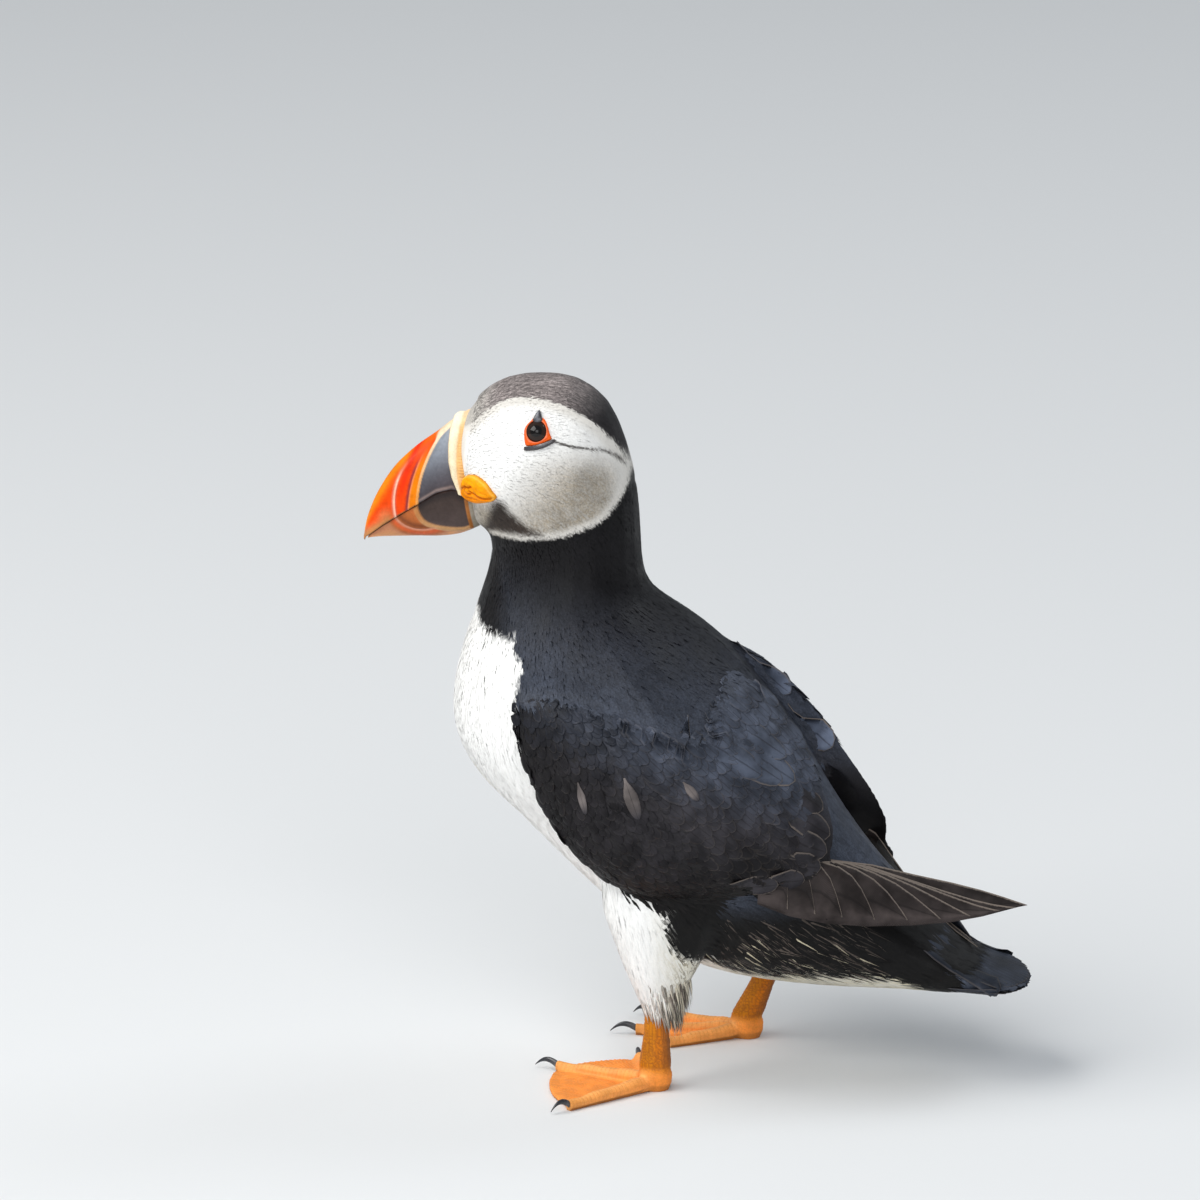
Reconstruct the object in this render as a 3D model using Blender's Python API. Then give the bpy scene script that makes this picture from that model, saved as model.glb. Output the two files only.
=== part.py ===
"""A standing Atlantic puffin, life size, as a still museum model.

The bird faces -Y with its left side to +X, and its feet stand on z = 0. Head, neck, trunk and tail are
one lofted body parted by thin plane cuts; wings, legs, bill, eyes and claws are pieces of their own.
Every length below is in millimetres.
"""

import math

import bmesh
import bpy
import numpy as np
from mathutils import Matrix, Vector
from mathutils.bvhtree import BVHTree

MM = 0.001
GAP = 0.35  # clearance between neighbouring solids
STANCE = (-2.5, 0.5, 0.0)  # moves the finished bird so that its box stands centred on the origin
LEFT, RIGHT = 1, -1

# Driving sizes.
BODY_SIDES = 24
BODY_STEPS = 2  # rings from one station to the next
EYE_RADIUS = 4.1
EYE_HEIGHT, EYE_BACK = 189.2, -44.0
EYE_PROUD = 1.1  # how far the eyeball stands out of the feathers
PLATE_ROOT, PLATE_THICK, ROSETTE_THICK = 1.0, 0.8, 2.4
WEB_RISE, WEB_THICK = 0.35, 1.2
WEB_SCALLOP, WEB_SHORT = 0.04, 0.8  # how far the web's edge is hollowed, and ends short of the toes' ends
TOE_RADIUS, TOE_SIDES = 2.3, 8
CLAW_LENGTHS, CLAW_RADIUS, CLAW_TIP = (6.0, 7.0, 5.0), 1.15, 0.22  # lengths of outer, middle, inner
CLAW_SIDES, TARSUS_SIDES, THIGH_SIDES, BILL_SIDES, PRIMARY_SIDES = 6, 12, 16, 16, 10
BEYOND = 90.0  # a place well outside the bird's side, from which rays are cast at it

# Stations of the body from the bill to the tail tip: back (y, z), belly (y, z), half width, and how
# square the section is (0 an ellipse, larger a broad flat back).
BODY = (
    # head, its sections turning about the throat
    ((-66.0, 189.6), (-64.0, 157.2), 8.6, 0.0),
    ((-62.8, 195.2), (-63.0, 156.6), 13.6, 0.0),
    ((-55.4, 199.8), (-61.6, 156.0), 17.6, 0.0),
    ((-45.5, 201.3), (-60.6, 155.2), 20.2, 0.0),
    ((-35.3, 200.0), (-60.0, 154.0), 21.4, 0.0),
    ((-26.6, 193.6), (-59.7, 152.4), 21.8, 0.0),
    ((-21.2, 182.0), (-59.8, 150.2), 21.4, 0.0),
    # neck
    ((-17.9, 168.2), (-60.3, 147.0), 20.8, 0.0),
    ((-16.9, 155.0), (-61.4, 142.4), 21.4, 0.0),
    ((-15.8, 143.4), (-63.4, 136.4), 24.4, 0.0),
    # trunk
    ((-10.6, 136.6), (-66.2, 128.0), 29.5, 0.05),
    ((-3.4, 131.8), (-69.4, 116.8), 34.5, 0.1),
    ((3.8, 126.8), (-70.9, 105.0), 37.6, 0.15),
    ((10.4, 120.6), (-68.2, 93.6), 39.2, 0.2),
    ((17.0, 112.8), (-60.8, 83.0), 39.8, 0.2),
    ((23.8, 104.0), (-50.6, 73.6), 39.8, 0.2),
    ((30.0, 94.6), (-39.8, 62.8), 38.8, 0.15),
    ((35.2, 85.8), (-28.0, 51.6), 36.6, 0.1),
    ((40.8, 77.2), (-14.4, 39.2), 33.2, 0.1),
    ((46.8, 69.0), (1.0, 30.6), 29.0, 0.05),
    ((53.4, 61.0), (18.0, 27.2), 25.0, 0.05),
    ((61.0, 52.4), (35.0, 26.0), 21.4, 0.1),
    # tail, flattening into its fan
    ((69.4, 43.6), (51.0, 26.0), 18.4, 0.15),
    ((77.6, 37.4), (66.0, 26.4), 17.2, 0.25),
    ((84.6, 33.6), (79.0, 26.8), 17.0, 0.3),
    ((90.6, 31.0), (88.0, 27.4), 15.0, 0.3),
    ((95.0, 29.4), (94.2, 28.0), 7.0, 0.2),
)
# Each cut is a line across the side view, from its belly end to its back end.
THROAT_CUT = ((-60.0, 151.0), (-18.0, 171.6))
COLLAR_CUT = ((-64.6, 132.0), (-12.4, 140.6))
RUMP_CUT = ((62.0, 26.2), (73.6, 40.2))

# The edge of a folded wing with its scapulars, as (x, y, z) of the left one: from the wrist down and
# back along the lower edge, then round the tertials, where the right wing reaches further down the
# rump, and forward over the back.
WING_LOWER_EDGE = (
    (36.0, -48.3, 115.0), (37.5, -47.4, 104.8), (38.6, -43.8, 94.0), (38.8, -38.4, 81.8),
    (38.2, -30.6, 71.0), (37.2, -20.8, 62.6), (36.6, -8.0, 58.6), (36.0, 8.0, 59.2), (35.0, 24.0, 61.0),
)
WING_TERTIALS = {
    LEFT: ((33.0, 35.6, 63.6), (30.6, 41.4, 70.6), (27.0, 42.0, 79.6), (21.0, 37.6, 91.0)),
    RIGHT: ((33.4, 41.0, 57.4), (30.0, 51.4, 60.8), (25.6, 48.6, 73.0), (20.4, 39.8, 89.0)),
}
WING_BACK_EDGE = (
    (15.0, 31.0, 102.6), (11.6, 21.0, 114.6), (10.6, 9.0, 121.6), (13.6, -6.0, 124.4),
    (19.0, -22.0, 125.6), (25.4, -36.0, 123.6), (31.0, -45.4, 120.2),
)
WING_CENTRE = (34.0, -4.0, 91.0)
WING_BULGE = 15.4  # how far the wing's middle stands out beyond its edge
WING_AXIS = (9.0, 84.0)  # x and height of the line that the bulge points away from
WING_EDGE_THICK = 1.5
WING_RINGS = 5

# The primaries' stack: middle line (x, y, z), half height and twist in degrees, for the left wing
# and for the right one, which droops across the rump onto the tail.
PRIMARIES = {
    LEFT: (
        (36.0, 20.0, 63.0, 4.0, -8),
        (34.6, 31.0, 62.6, 7.6, -10),
        (32.0, 42.0, 62.0, 9.2, -14),
        (27.0, 53.7, 59.8, 8.6, -18),
        (22.2, 66.6, 57.6, 6.8, -22),
        (18.2, 78.0, 56.5, 5.0, -26),
        (15.6, 88.6, 56.5, 2.8, -28),
        (14.2, 95.2, 56.2, 0.9, -30),
    ),
    RIGHT: (
        (-35.0, 20.0, 62.0, 4.0, 8),
        (-35.4, 34.0, 60.0, 7.0, 10),
        (-33.4, 46.0, 55.4, 7.4, 20),
        (-26.6, 56.0, 49.6, 6.6, 34),
        (-16.6, 65.6, 44.6, 5.0, 50),
        (-6.0, 74.0, 41.0, 3.2, 60),
        (1.6, 79.6, 39.2, 0.9, 66),
    ),
}
PRIMARY_HALF_THICK = 1.3

# Legs: the left foot is a step ahead. Ball of the foot (x, y), ankle (x, y), toe headings in degrees
# outwards of straight ahead for the outer, middle and inner toe, and how far back the thigh leans for
# each millimetre of height.
LEGS = {
    LEFT: {"ball": (26.0, -9.4), "ankle": (25.6, -8.8), "toes": (48.0, -22.0, -72.0), "lean": 0.08},
    RIGHT: {"ball": (-27.0, 10.0), "ankle": (-26.0, 17.6), "toes": (24.0, -5.0, -34.0), "lean": -0.34},
}
TOE_LENGTHS = (32.0, 32.0, 25.0)
TOE_NAMES = ("outer", "middle", "inner")
ANKLE_HEIGHT, BALL_HEIGHT = 23.6, 6.0

# The feathered thigh: height, half width, half length.
THIGH = (
    (64.0, 12.0, 20.0),
    (52.0, 12.6, 18.0),
    (42.0, 10.6, 13.6),
    (34.0, 8.4, 9.8),
    (28.0, 6.2, 6.6),
    (24.0, 4.8, 5.0),
)

# The bare shank: share of the way down, half width, half depth.
TARSUS = (
    (0.0, 3.0, 3.7), (0.2, 2.6, 3.6), (0.45, 2.5, 3.7), (0.7, 2.8, 4.2), (0.9, 3.1, 4.6), (1.0, 3.1, 4.6),
)
# The ball of the foot: height, radius. It is a little longer than wide.
HEEL = ((0.0, 3.4), (2.0, 4.2), (4.6, 4.3), (BALL_HEIGHT, 3.9))
HEEL_LENGTH = 1.15

# Bill: culmen (y, z), cutting edge (y, z), half width; then the lower jaw alike.
BILL_UPPER = (
    ((-69.6, 186.6), (-68.4, 166.2), 7.6),
    ((-75.4, 183.0), (-74.6, 164.8), 7.0),
    ((-81.4, 178.6), (-80.4, 161.9), 6.0),
    ((-87.5, 172.6), (-85.8, 158.6), 5.0),
    ((-92.3, 165.2), (-90.6, 155.4), 3.9),
    ((-95.2, 158.2), (-93.8, 153.2), 2.7),
    ((-96.4, 152.5), (-95.6, 151.3), 1.1),
)
BILL_LOWER = (
    ((-65.6, 165.9), (-64.6, 155.6), 7.4),
    ((-70.0, 165.6), (-69.4, 153.9), 7.0),
    ((-74.6, 164.2), (-74.6, 153.1), 6.2),
    ((-80.2, 161.3), (-80.4, 152.9), 5.0),
    ((-85.4, 158.0), (-86.0, 152.6), 3.8),
    ((-90.0, 155.0), (-91.0, 152.3), 2.4),
    ((-93.2, 152.9), (-93.8, 151.9), 1.0),
)
# The cere: a soft ridge round the root of the upper bill.
CERE = (
    ((-66.4, 189.9), (-65.2, 166.9), 8.6),
    ((-67.2, 190.7), (-66.0, 166.4), 9.6),
    ((-68.2, 189.6), (-66.8, 166.2), 9.4),
    ((-69.2, 187.8), (-67.8, 166.2), 8.2),
)
# The root of the bill arches forward about its middle: how far, at what height, over what half height.
ARCH, ARCH_HEIGHT, ARCH_REACH = 2.4, 179.0, 13.0
BLUNTNESS = 0.4  # power that squares off the bill where its halves meet; 1 leaves it round

# Small pieces on the face: the place (y, z) on the side of the head, then the outline in
# (back, up) from there.
ROSETTE = (
    (-61.2, 170.8),
    ((-4.4, 0.2), (-3.4, 3.0), (-0.4, 4.2), (2.6, 3.0), (5.2, -0.4), (5.7, -2.0), (3.4, -3.6), (-0.6, -4.2),
     (-3.6, -3.0)),
)
LID_PLATES = {
    "eye_plate_upper": (
        (0.2, 4.5), ((-1.5, -1.2), (0.3, -1.3), (1.9, -1.0), (1.1, 0.9), (0.7, 1.7), (-0.3, 1.2)),
    ),
    "eye_plate_lower": (
        (0.2, -4.3), ((-3.1, -0.8), (0.0, -0.6), (2.6, 0.1), (4.9, 1.6), (4.4, 2.2), (1.1, 0.6), (-2.9, 0.3)),
    ),
}

COLOURS = {  # linear base colour, roughness
    "black": ((0.012, 0.012, 0.015, 1), 0.6),
    "white": ((0.80, 0.79, 0.75, 1), 0.7),
    "orange": ((0.86, 0.20, 0.02, 1), 0.45),
    "red": ((0.82, 0.07, 0.01, 1), 0.3),
    "cream": ((0.82, 0.60, 0.28, 1), 0.45),
    "yellow": ((0.90, 0.42, 0.01, 1), 0.45),
    "slate": ((0.05, 0.06, 0.075, 1), 0.4),
    "eye": ((0.01, 0.008, 0.006, 1), 0.05),
    "claw": ((0.02, 0.02, 0.022, 1), 0.3),
}


def clear_scene():
    for obj in list(bpy.data.objects):
        bpy.data.objects.remove(obj)


def material(name):
    """The Principled material of this colour, made once."""
    found = bpy.data.materials.get(name)
    if found:
        return found
    colour, roughness = COLOURS[name]
    made = bpy.data.materials.new(name)
    made.use_nodes = True
    shader = made.node_tree.nodes["Principled BSDF"]
    shader.inputs["Base Color"].default_value = colour
    shader.inputs["Roughness"].default_value = roughness
    made.diffuse_color = colour
    return made


def add_object(name, bm, colour):
    """Turns a bmesh in millimetres into a smooth-shaded object in metres."""
    bmesh.ops.recalc_face_normals(bm, faces=bm.faces)
    bmesh.ops.translate(bm, vec=STANCE, verts=bm.verts)
    bmesh.ops.scale(bm, vec=(MM, MM, MM), verts=bm.verts)
    mesh = bpy.data.meshes.new(name)
    bm.to_mesh(mesh)
    bm.free()
    mesh.shade_smooth()
    mesh.set_sharp_from_angle(angle=math.radians(50))
    obj = bpy.data.objects.new(name, mesh)
    bpy.context.scene.collection.objects.link(obj)
    mesh.materials.append(material(colour))
    return obj


def helper(obj):
    """Marks a cutter, which is no part of the bird."""
    obj.hide_render = True
    obj.display_type = "WIRE"
    return obj


def boolean(obj, operation, other):
    modifier = obj.modifiers.new(operation.title(), "BOOLEAN")
    modifier.operation = operation
    modifier.object = helper(other)


def turns(sides):
    """Angles evenly round a ring."""
    return np.arange(sides) * math.tau / sides


def smooth_rows(rows, steps, closed=False):
    """Rows of numbers with steps - 1 more between each two, along a Catmull-Rom curve through them."""
    rows = np.array(rows, float)
    count = len(rows)
    if closed:
        padded = np.vstack([rows[-1], rows, rows[:2]])
    else:
        padded = np.vstack([2 * rows[0] - rows[1], rows, 2 * rows[-1] - rows[-2]])
    made = []
    for i in range(count if closed else count - 1):
        p0, p1, p2, p3 = padded[i : i + 4]
        for t in np.arange(steps) / steps:
            made.append(
                0.5 * (2 * p1 + (p2 - p0) * t + (2 * p0 - 5 * p1 + 4 * p2 - p3) * t**2
                       + (3 * p1 - p0 - 3 * p2 + p3) * t**3)
            )
    if not closed:
        made.append(rows[-1])
    return np.array(made)


def flat_rows(stations):
    """Stations of (back, belly, other numbers) as plain rows."""
    return [(*back, *belly, *others) for back, belly, *others in stations]


def arch(z):
    """How far forward of its straight line the root of the bill lies at this height."""
    return ARCH * max(0.0, 1 - ((z - ARCH_HEIGHT) / ARCH_REACH) ** 2)


def section(row, sides, widest=0.5, arched=0.0, square=0.0, swell=0.0, blunt=0):
    """A ring of points round one station, from the belly over the left side and the back.

    widest is the share of the way to the back where it is broadest, arched is the share of the bill
    root's arch that it follows, and swell grows the ring all round. blunt, -1 or 1, squares off its
    belly or its back, where the two halves of the bill meet.
    """
    back, belly, half = np.array(row[0:2]), np.array(row[2:4]), row[4]
    axis = (back - belly) / np.linalg.norm(back - belly)
    belly, back, half = belly - swell * axis, back + swell * axis, half + swell
    points = []
    for k in range(sides):
        turn = 2 * math.pi * k / sides
        up, out = -math.cos(turn), math.sin(turn)
        grow = (1 + square * (2 * up * out) ** 2) if up > 0 else 1
        if up * blunt > 0.001:
            out = math.copysign(abs(out) ** BLUNTNESS, out)
        share = widest + up * (widest if up < 0 else 1 - widest)
        y, z = belly + (back - belly) * share
        points.append((half * out * grow, y - arched * arch(z), z))
    return points


def close_ring(bm, ring):
    """Fills a ring made by section with a ladder of faces from side to side."""
    count = len(ring)
    bm.faces.new((ring[0], ring[1], ring[-1]))
    for k in range(1, count // 2 - 1):
        bm.faces.new((ring[k], ring[k + 1], ring[count - k - 1], ring[count - k]))
    middle = count // 2
    bm.faces.new((ring[middle - 1], ring[middle], ring[middle + 1]))


def loft(rings):
    """A closed bmesh through rings of equal, even length."""
    bm = bmesh.new()
    loops = [[bm.verts.new(p) for p in ring] for ring in rings]
    for near, far in zip(loops, loops[1:]):
        for k in range(len(near)):
            after = (k + 1) % len(near)
            bm.faces.new((near[k], near[after], far[after], far[k]))
    close_ring(bm, loops[0])
    close_ring(bm, loops[-1])
    return bm


def body_bmesh(swell=0.0):
    rows = smooth_rows(flat_rows(BODY), BODY_STEPS)
    rings = []
    for i, row in enumerate(rows):
        arched = max(0.0, 1 - i / (2 * BODY_STEPS))
        rings.append(section(row, BODY_SIDES, arched=arched, square=row[5], swell=swell))
    return loft(rings)


def slice_off(bm, line, towards_tail):
    """Cuts a bmesh along a line of the side view, half a gap off it, and keeps one side."""
    (y0, z0), (y1, z1) = line
    normal = Vector((0, z1 - z0, y0 - y1)).normalized()  # towards the tail
    side = 1 if towards_tail else -1
    place = Vector((0, y0, z0)) + normal * side * GAP / 2
    geometry = list(bm.verts) + list(bm.edges) + list(bm.faces)
    cut = bmesh.ops.bisect_plane(
        bm, geom=geometry, dist=1e-4, plane_co=place, plane_no=-side * normal, clear_outer=True
    )
    rim = [g for g in cut["geom_cut"] if isinstance(g, bmesh.types.BMEdge)]
    bmesh.ops.edgeloop_fill(bm, edges=rim)
    return bm


def make_body():
    """Head, neck, trunk and tail, parted from one loft."""
    parts = {
        "head": ([(THROAT_CUT, False)], "white"),
        "neck": ([(THROAT_CUT, True), (COLLAR_CUT, False)], "black"),
        "trunk": ([(COLLAR_CUT, True), (RUMP_CUT, False)], "black"),
        "tail": ([(RUMP_CUT, True)], "black"),
    }
    made = {}
    for name, (cuts, colour) in parts.items():
        bm = body_bmesh()
        for line, towards_tail in cuts:
            slice_off(bm, line, towards_tail)
        made[name] = add_object(name, bm, colour)
    return made


def body_tree():
    bm = body_bmesh()
    bmesh.ops.recalc_face_normals(bm, faces=bm.faces)
    tree = BVHTree.FromBMesh(bm)
    bm.free()
    return tree


def on_side(tree, side, y, z):
    """Where the body's surface is at this height and length, and its outward direction."""
    hit, normal, _, _ = tree.ray_cast(Vector((side * BEYOND, y, z)), Vector((-side, 0, 0)))
    return hit, normal


def side_name(side):
    return "left" if side == LEFT else "right"


def wing_bmesh(side, swell=0.0):
    """The folded wing as a domed plate whose edge follows the outline; swell grows it all round."""
    outline = smooth_rows(WING_LOWER_EDGE + WING_TERTIALS[side] + WING_BACK_EDGE, 2, closed=True)
    centre = np.array(WING_CENTRE)
    bm = bmesh.new()
    rims = []
    for outer in (False, True):
        loops = []
        for ring in range(WING_RINGS + 1):
            share = (ring / WING_RINGS) ** 0.8
            reach = share * (1 + swell / 40)
            spots = [centre] if ring == 0 else centre + reach * (outline - centre)
            loop = []
            for spot in spots:
                away = Vector((spot[0] - WING_AXIS[0], 0, (spot[2] - WING_AXIS[1]) * 0.8)).normalized()
                crown = 1 - share**2.2
                lift = WING_BULGE * crown + swell
                if not outer:
                    lift -= WING_EDGE_THICK + 2 * swell + 11 * min(1, 4 * crown)
                place = Vector(spot) + away * lift
                loop.append(bm.verts.new((side * place.x, place.y, place.z)))
            loops.append(loop)
        for k in range(len(outline)):
            after = (k + 1) % len(outline)
            bm.faces.new((loops[0][0], loops[1][k], loops[1][after]))
            for near, far in zip(loops[1:], loops[2:]):
                bm.faces.new((near[k], far[k], far[after], near[after]))
        rims.append(loops[-1])
    for k in range(len(outline)):
        after = (k + 1) % len(outline)
        bm.faces.new((rims[0][k], rims[0][after], rims[1][after], rims[1][k]))
    bmesh.ops.recalc_face_normals(bm, faces=bm.faces)
    return bm


def make_wing(side, grown_body):
    """The wing joined to its primaries and hollowed to lie a gap off the body."""
    wing = add_object("wing_" + side_name(side), wing_bmesh(side), "black")
    boolean(wing, "UNION", primaries(side))
    boolean(wing, "DIFFERENCE", grown_body)


def primaries(side):
    """The long flight feathers as one thin, tapering stack."""
    rows = smooth_rows(PRIMARIES[side], 3)
    rings = []
    for i, row in enumerate(rows):
        here = Vector(row[:3])
        ahead = Vector(rows[min(i + 1, len(rows) - 1)][:3]) - Vector(rows[max(i - 1, 0)][:3])
        level = ahead.cross(Vector((0, 0, 1))).normalized()
        up = level.cross(ahead).normalized()
        twist = math.radians(row[4])
        width = up * math.cos(twist) + level * math.sin(twist)
        across = level * math.cos(twist) - up * math.sin(twist)
        thick = PRIMARY_HALF_THICK * min(1, 0.5 + row[3] / 8)
        rings.append([
            here + width * row[3] * math.cos(turn) + across * thick * math.sin(turn)
            for turn in turns(PRIMARY_SIDES)
        ])
    return add_object("primaries_" + side_name(side), loft(rings), "black")


def make_thigh(side, leg, grown_body):
    """The feathered thigh, cut to the belly and the wing that it comes out from under."""
    x, y = leg["ankle"]
    rings = []
    for z, across, along in THIGH:
        middle = y + leg["lean"] * (z - ANKLE_HEIGHT)
        rings.append([
            (x + across * math.cos(turn), middle + along * math.sin(turn), z) for turn in turns(THIGH_SIDES)
        ])
    thigh = add_object("thigh_" + side_name(side), loft(rings), "white")
    boolean(thigh, "DIFFERENCE", grown_body)
    boolean(thigh, "DIFFERENCE", add_object("wing_cut_" + side_name(side), wing_bmesh(side, GAP), "black"))


def make_tarsus(side, leg):
    """The bare shank, deeper than wide, from the ankle to the ball of the foot."""
    top = Vector((*leg["ankle"], ANKLE_HEIGHT))
    foot = Vector((*leg["ball"], BALL_HEIGHT + GAP))
    rings = []
    for t, across, along in TARSUS:
        centre = top.lerp(foot, t)
        rings.append([
            centre + Vector((across * math.cos(turn), -along * math.sin(turn), 0))
            for turn in turns(TARSUS_SIDES)
        ])
    add_object("tarsus_" + side_name(side), loft(rings), "orange")


def heading(side, degrees):
    """The unit direction on the floor this many degrees outwards of straight ahead."""
    turn = math.radians(degrees)
    return Vector((side * math.sin(turn), -math.cos(turn), 0))


def toe(side, ball, degrees, length, root_rise):
    """One toe, flat underneath: it swells at the joints, tapers to the claw and rises into the heel."""
    ahead = heading(side, degrees)
    across = Vector((-ahead.y, ahead.x, 0))
    half_side = math.pi / TOE_SIDES
    rings = []
    for t in np.linspace(0, 1, 8):
        swell = 1 + 0.10 * math.cos(3 * math.tau * t)
        radius = TOE_RADIUS * swell * (1.1 - 0.42 * t)
        rise = root_rise if t < 0.2 else 0
        height = rise + radius * math.cos(half_side)
        centre = ball + ahead * (length * t - 2 * (1 - t)) + Vector((0, 0, height))
        rings.append([
            centre + across * radius * math.cos(turn) + Vector((0, 0, radius * math.sin(turn)))
            for turn in half_side + turns(TOE_SIDES)
        ])
    return loft(rings)


def web_outline(side, ball, headings):
    """The edge of the webbing: out along the outer toe, scalloped from toe to toe, and back."""
    points = [ball + heading(side, 180) * 3]
    for (turn0, reach0), (turn1, reach1) in zip(
        zip(headings, TOE_LENGTHS), zip(headings[1:], TOE_LENGTHS[1:])
    ):
        for t in np.arange(6) / 6:
            scallop = 1 - WEB_SCALLOP * math.sin(math.pi * t)
            reach = (reach0 + (reach1 - reach0) * t - WEB_SHORT) * scallop
            points.append(ball + heading(side, turn0 + (turn1 - turn0) * t) * reach)
    points.append(ball + heading(side, headings[-1]) * (TOE_LENGTHS[-1] - WEB_SHORT))
    return points


def make_foot(side, leg):
    """Three toes and the ball of the foot joined by webbing, flat underneath on the floor."""
    ball = Vector((*leg["ball"], 0))
    heel_rings = [
        [ball + Vector((a * math.cos(t), a * HEEL_LENGTH * math.sin(t), z)) for t in turns(TARSUS_SIDES + 2)]
        for z, a in HEEL
    ]
    foot = add_object("foot_" + side_name(side), loft(heel_rings), "orange")
    for k, (name, degrees, length) in enumerate(zip(TOE_NAMES, leg["toes"], TOE_LENGTHS)):
        bm = toe(side, ball, degrees, length, 0.3 + 0.1 * k)
        boolean(foot, "UNION", add_object(f"toe_{side_name(side)}_{name}", bm, "orange"))
    bm = bmesh.new()
    outline = [bm.verts.new(p + Vector((0, 0, WEB_RISE))) for p in web_outline(side, ball, leg["toes"])]
    raised = bmesh.ops.extrude_face_region(bm, geom=[bm.faces.new(outline)])
    moved = [v for v in raised["geom"] if isinstance(v, bmesh.types.BMVert)]
    bmesh.ops.translate(bm, vec=(0, 0, WEB_THICK), verts=moved)
    boolean(foot, "UNION", add_object("web_" + side_name(side), bm, "orange"))


def make_claws(side, leg):
    """A curved nail a gap ahead of each toe."""
    ball = Vector((*leg["ball"], 0))
    for name, degrees, length, claw_length in zip(TOE_NAMES, leg["toes"], TOE_LENGTHS, CLAW_LENGTHS):
        ahead = heading(side, degrees)
        across = Vector((-ahead.y, ahead.x, 0))
        rings = []
        for t in np.linspace(0, 1, 5):
            radius = CLAW_RADIUS * (1 - t) ** 0.7 + CLAW_TIP
            height = 2.1 + 1.3 * math.sin(math.pi * 0.9 * t) - 1.6 * t**2
            centre = ball + ahead * (length + GAP + claw_length * t) + Vector((0, 0, height))
            rings.append([
                centre + across * radius * 0.8 * math.cos(turn) + Vector((0, 0, radius * math.sin(turn)))
                for turn in turns(CLAW_SIDES)
            ])
        add_object(f"claw_{side_name(side)}_{name}", loft(rings), "claw")


def make_bill():
    """Upper and lower bill and the cere, each a loft of narrow sections."""
    for name, stations, widest, blunt, colour in (
        ("bill_upper", BILL_UPPER, 0.2, -1, "red"),
        ("bill_lower", BILL_LOWER, 0.76, 1, "red"),
        ("bill_cere", CERE, 0.36, 0, "cream"),
    ):
        steps = 1 if name == "bill_cere" else 2
        rings = []
        for i, row in enumerate(smooth_rows(flat_rows(stations), steps)):
            arched = 1.0 if name == "bill_cere" else max(0.0, 1 - i / steps)
            rings.append(section(row, BILL_SIDES, widest=widest, arched=arched, blunt=blunt))
        add_object(name, loft(rings), colour)


def make_eye(side, head, tree):
    """An eyeball set into the head, with its socket cut out."""
    hit, normal = on_side(tree, side, EYE_BACK, EYE_HEIGHT)
    centre = hit - normal * (EYE_RADIUS - EYE_PROUD)
    place = Matrix.Translation(centre) @ normal.to_track_quat("Z", "Y").to_matrix().to_4x4()
    for name, radius in (("eye_", EYE_RADIUS), ("socket_", EYE_RADIUS + GAP)):
        bm = bmesh.new()
        bmesh.ops.create_uvsphere(bm, u_segments=14, v_segments=7, radius=radius, matrix=place)
        ball = add_object(name + side_name(side), bm, "eye")
    boolean(head, "DIFFERENCE", ball)


def face_plate(name, side, tree, place, outline, thick, grown_body):
    """A small plate on the face, started under the feathers and cut to lie a gap off them."""
    bm = bmesh.new()
    rings = []
    for lift, share in ((-PLATE_ROOT, 1.0), (GAP + thick * 0.6, 0.96), (GAP + thick, 0.6)):
        ring = []
        for back, up in outline:
            hit, normal = on_side(tree, side, place[0] + back * share, place[1] + up * share)
            ring.append(bm.verts.new(hit + normal * lift))
        rings.append(ring)
    for near, far in zip(rings, rings[1:]):
        for k in range(len(near)):
            after = (k + 1) % len(near)
            bm.faces.new((near[k], near[after], far[after], far[k]))
    bm.faces.new(rings[0])
    bm.faces.new(rings[-1])
    plate = add_object(name + "_" + side_name(side), bm, "yellow" if name == "rosette" else "slate")
    boolean(plate, "DIFFERENCE", grown_body)


def make_face(side, head, tree, grown_body):
    """The eye, the small plates above and below it and the rosette at the corner of the mouth."""
    make_eye(side, head, tree)
    for name, ((back, up), outline) in LID_PLATES.items():
        place = (EYE_BACK + back, EYE_HEIGHT + up)
        face_plate(name, side, tree, place, outline, PLATE_THICK, grown_body)
    place, outline = ROSETTE
    face_plate("rosette", side, tree, place, outline, ROSETTE_THICK, grown_body)


def main():
    clear_scene()
    tree = body_tree()
    body = make_body()
    grown_body = helper(add_object("grown_body", body_bmesh(GAP), "black"))
    make_bill()
    for side, leg in LEGS.items():
        make_wing(side, grown_body)
        make_thigh(side, leg, grown_body)
        make_tarsus(side, leg)
        make_foot(side, leg)
        make_claws(side, leg)
        make_face(side, body["head"], tree, grown_body)


main()
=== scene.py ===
# %% [markdown]
# # A life-size Atlantic puffin
# The solids of the bird are loaded as a fixed frame. Everything that gives the bird its looks is then
# made round them: one skin under the feathers, a coat of small tufts, the large feathers of wings and
# tail, the horn of the bill, the scaly feet and the eyes. Each step starts with a few words on what the
# real thing is, how it could be made and why this way was chosen.

import math

import bpy
import numpy as np
from mathutils import Matrix, Vector
from mathutils.bvhtree import BVHTree
from mathutils.kdtree import KDTree


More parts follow.
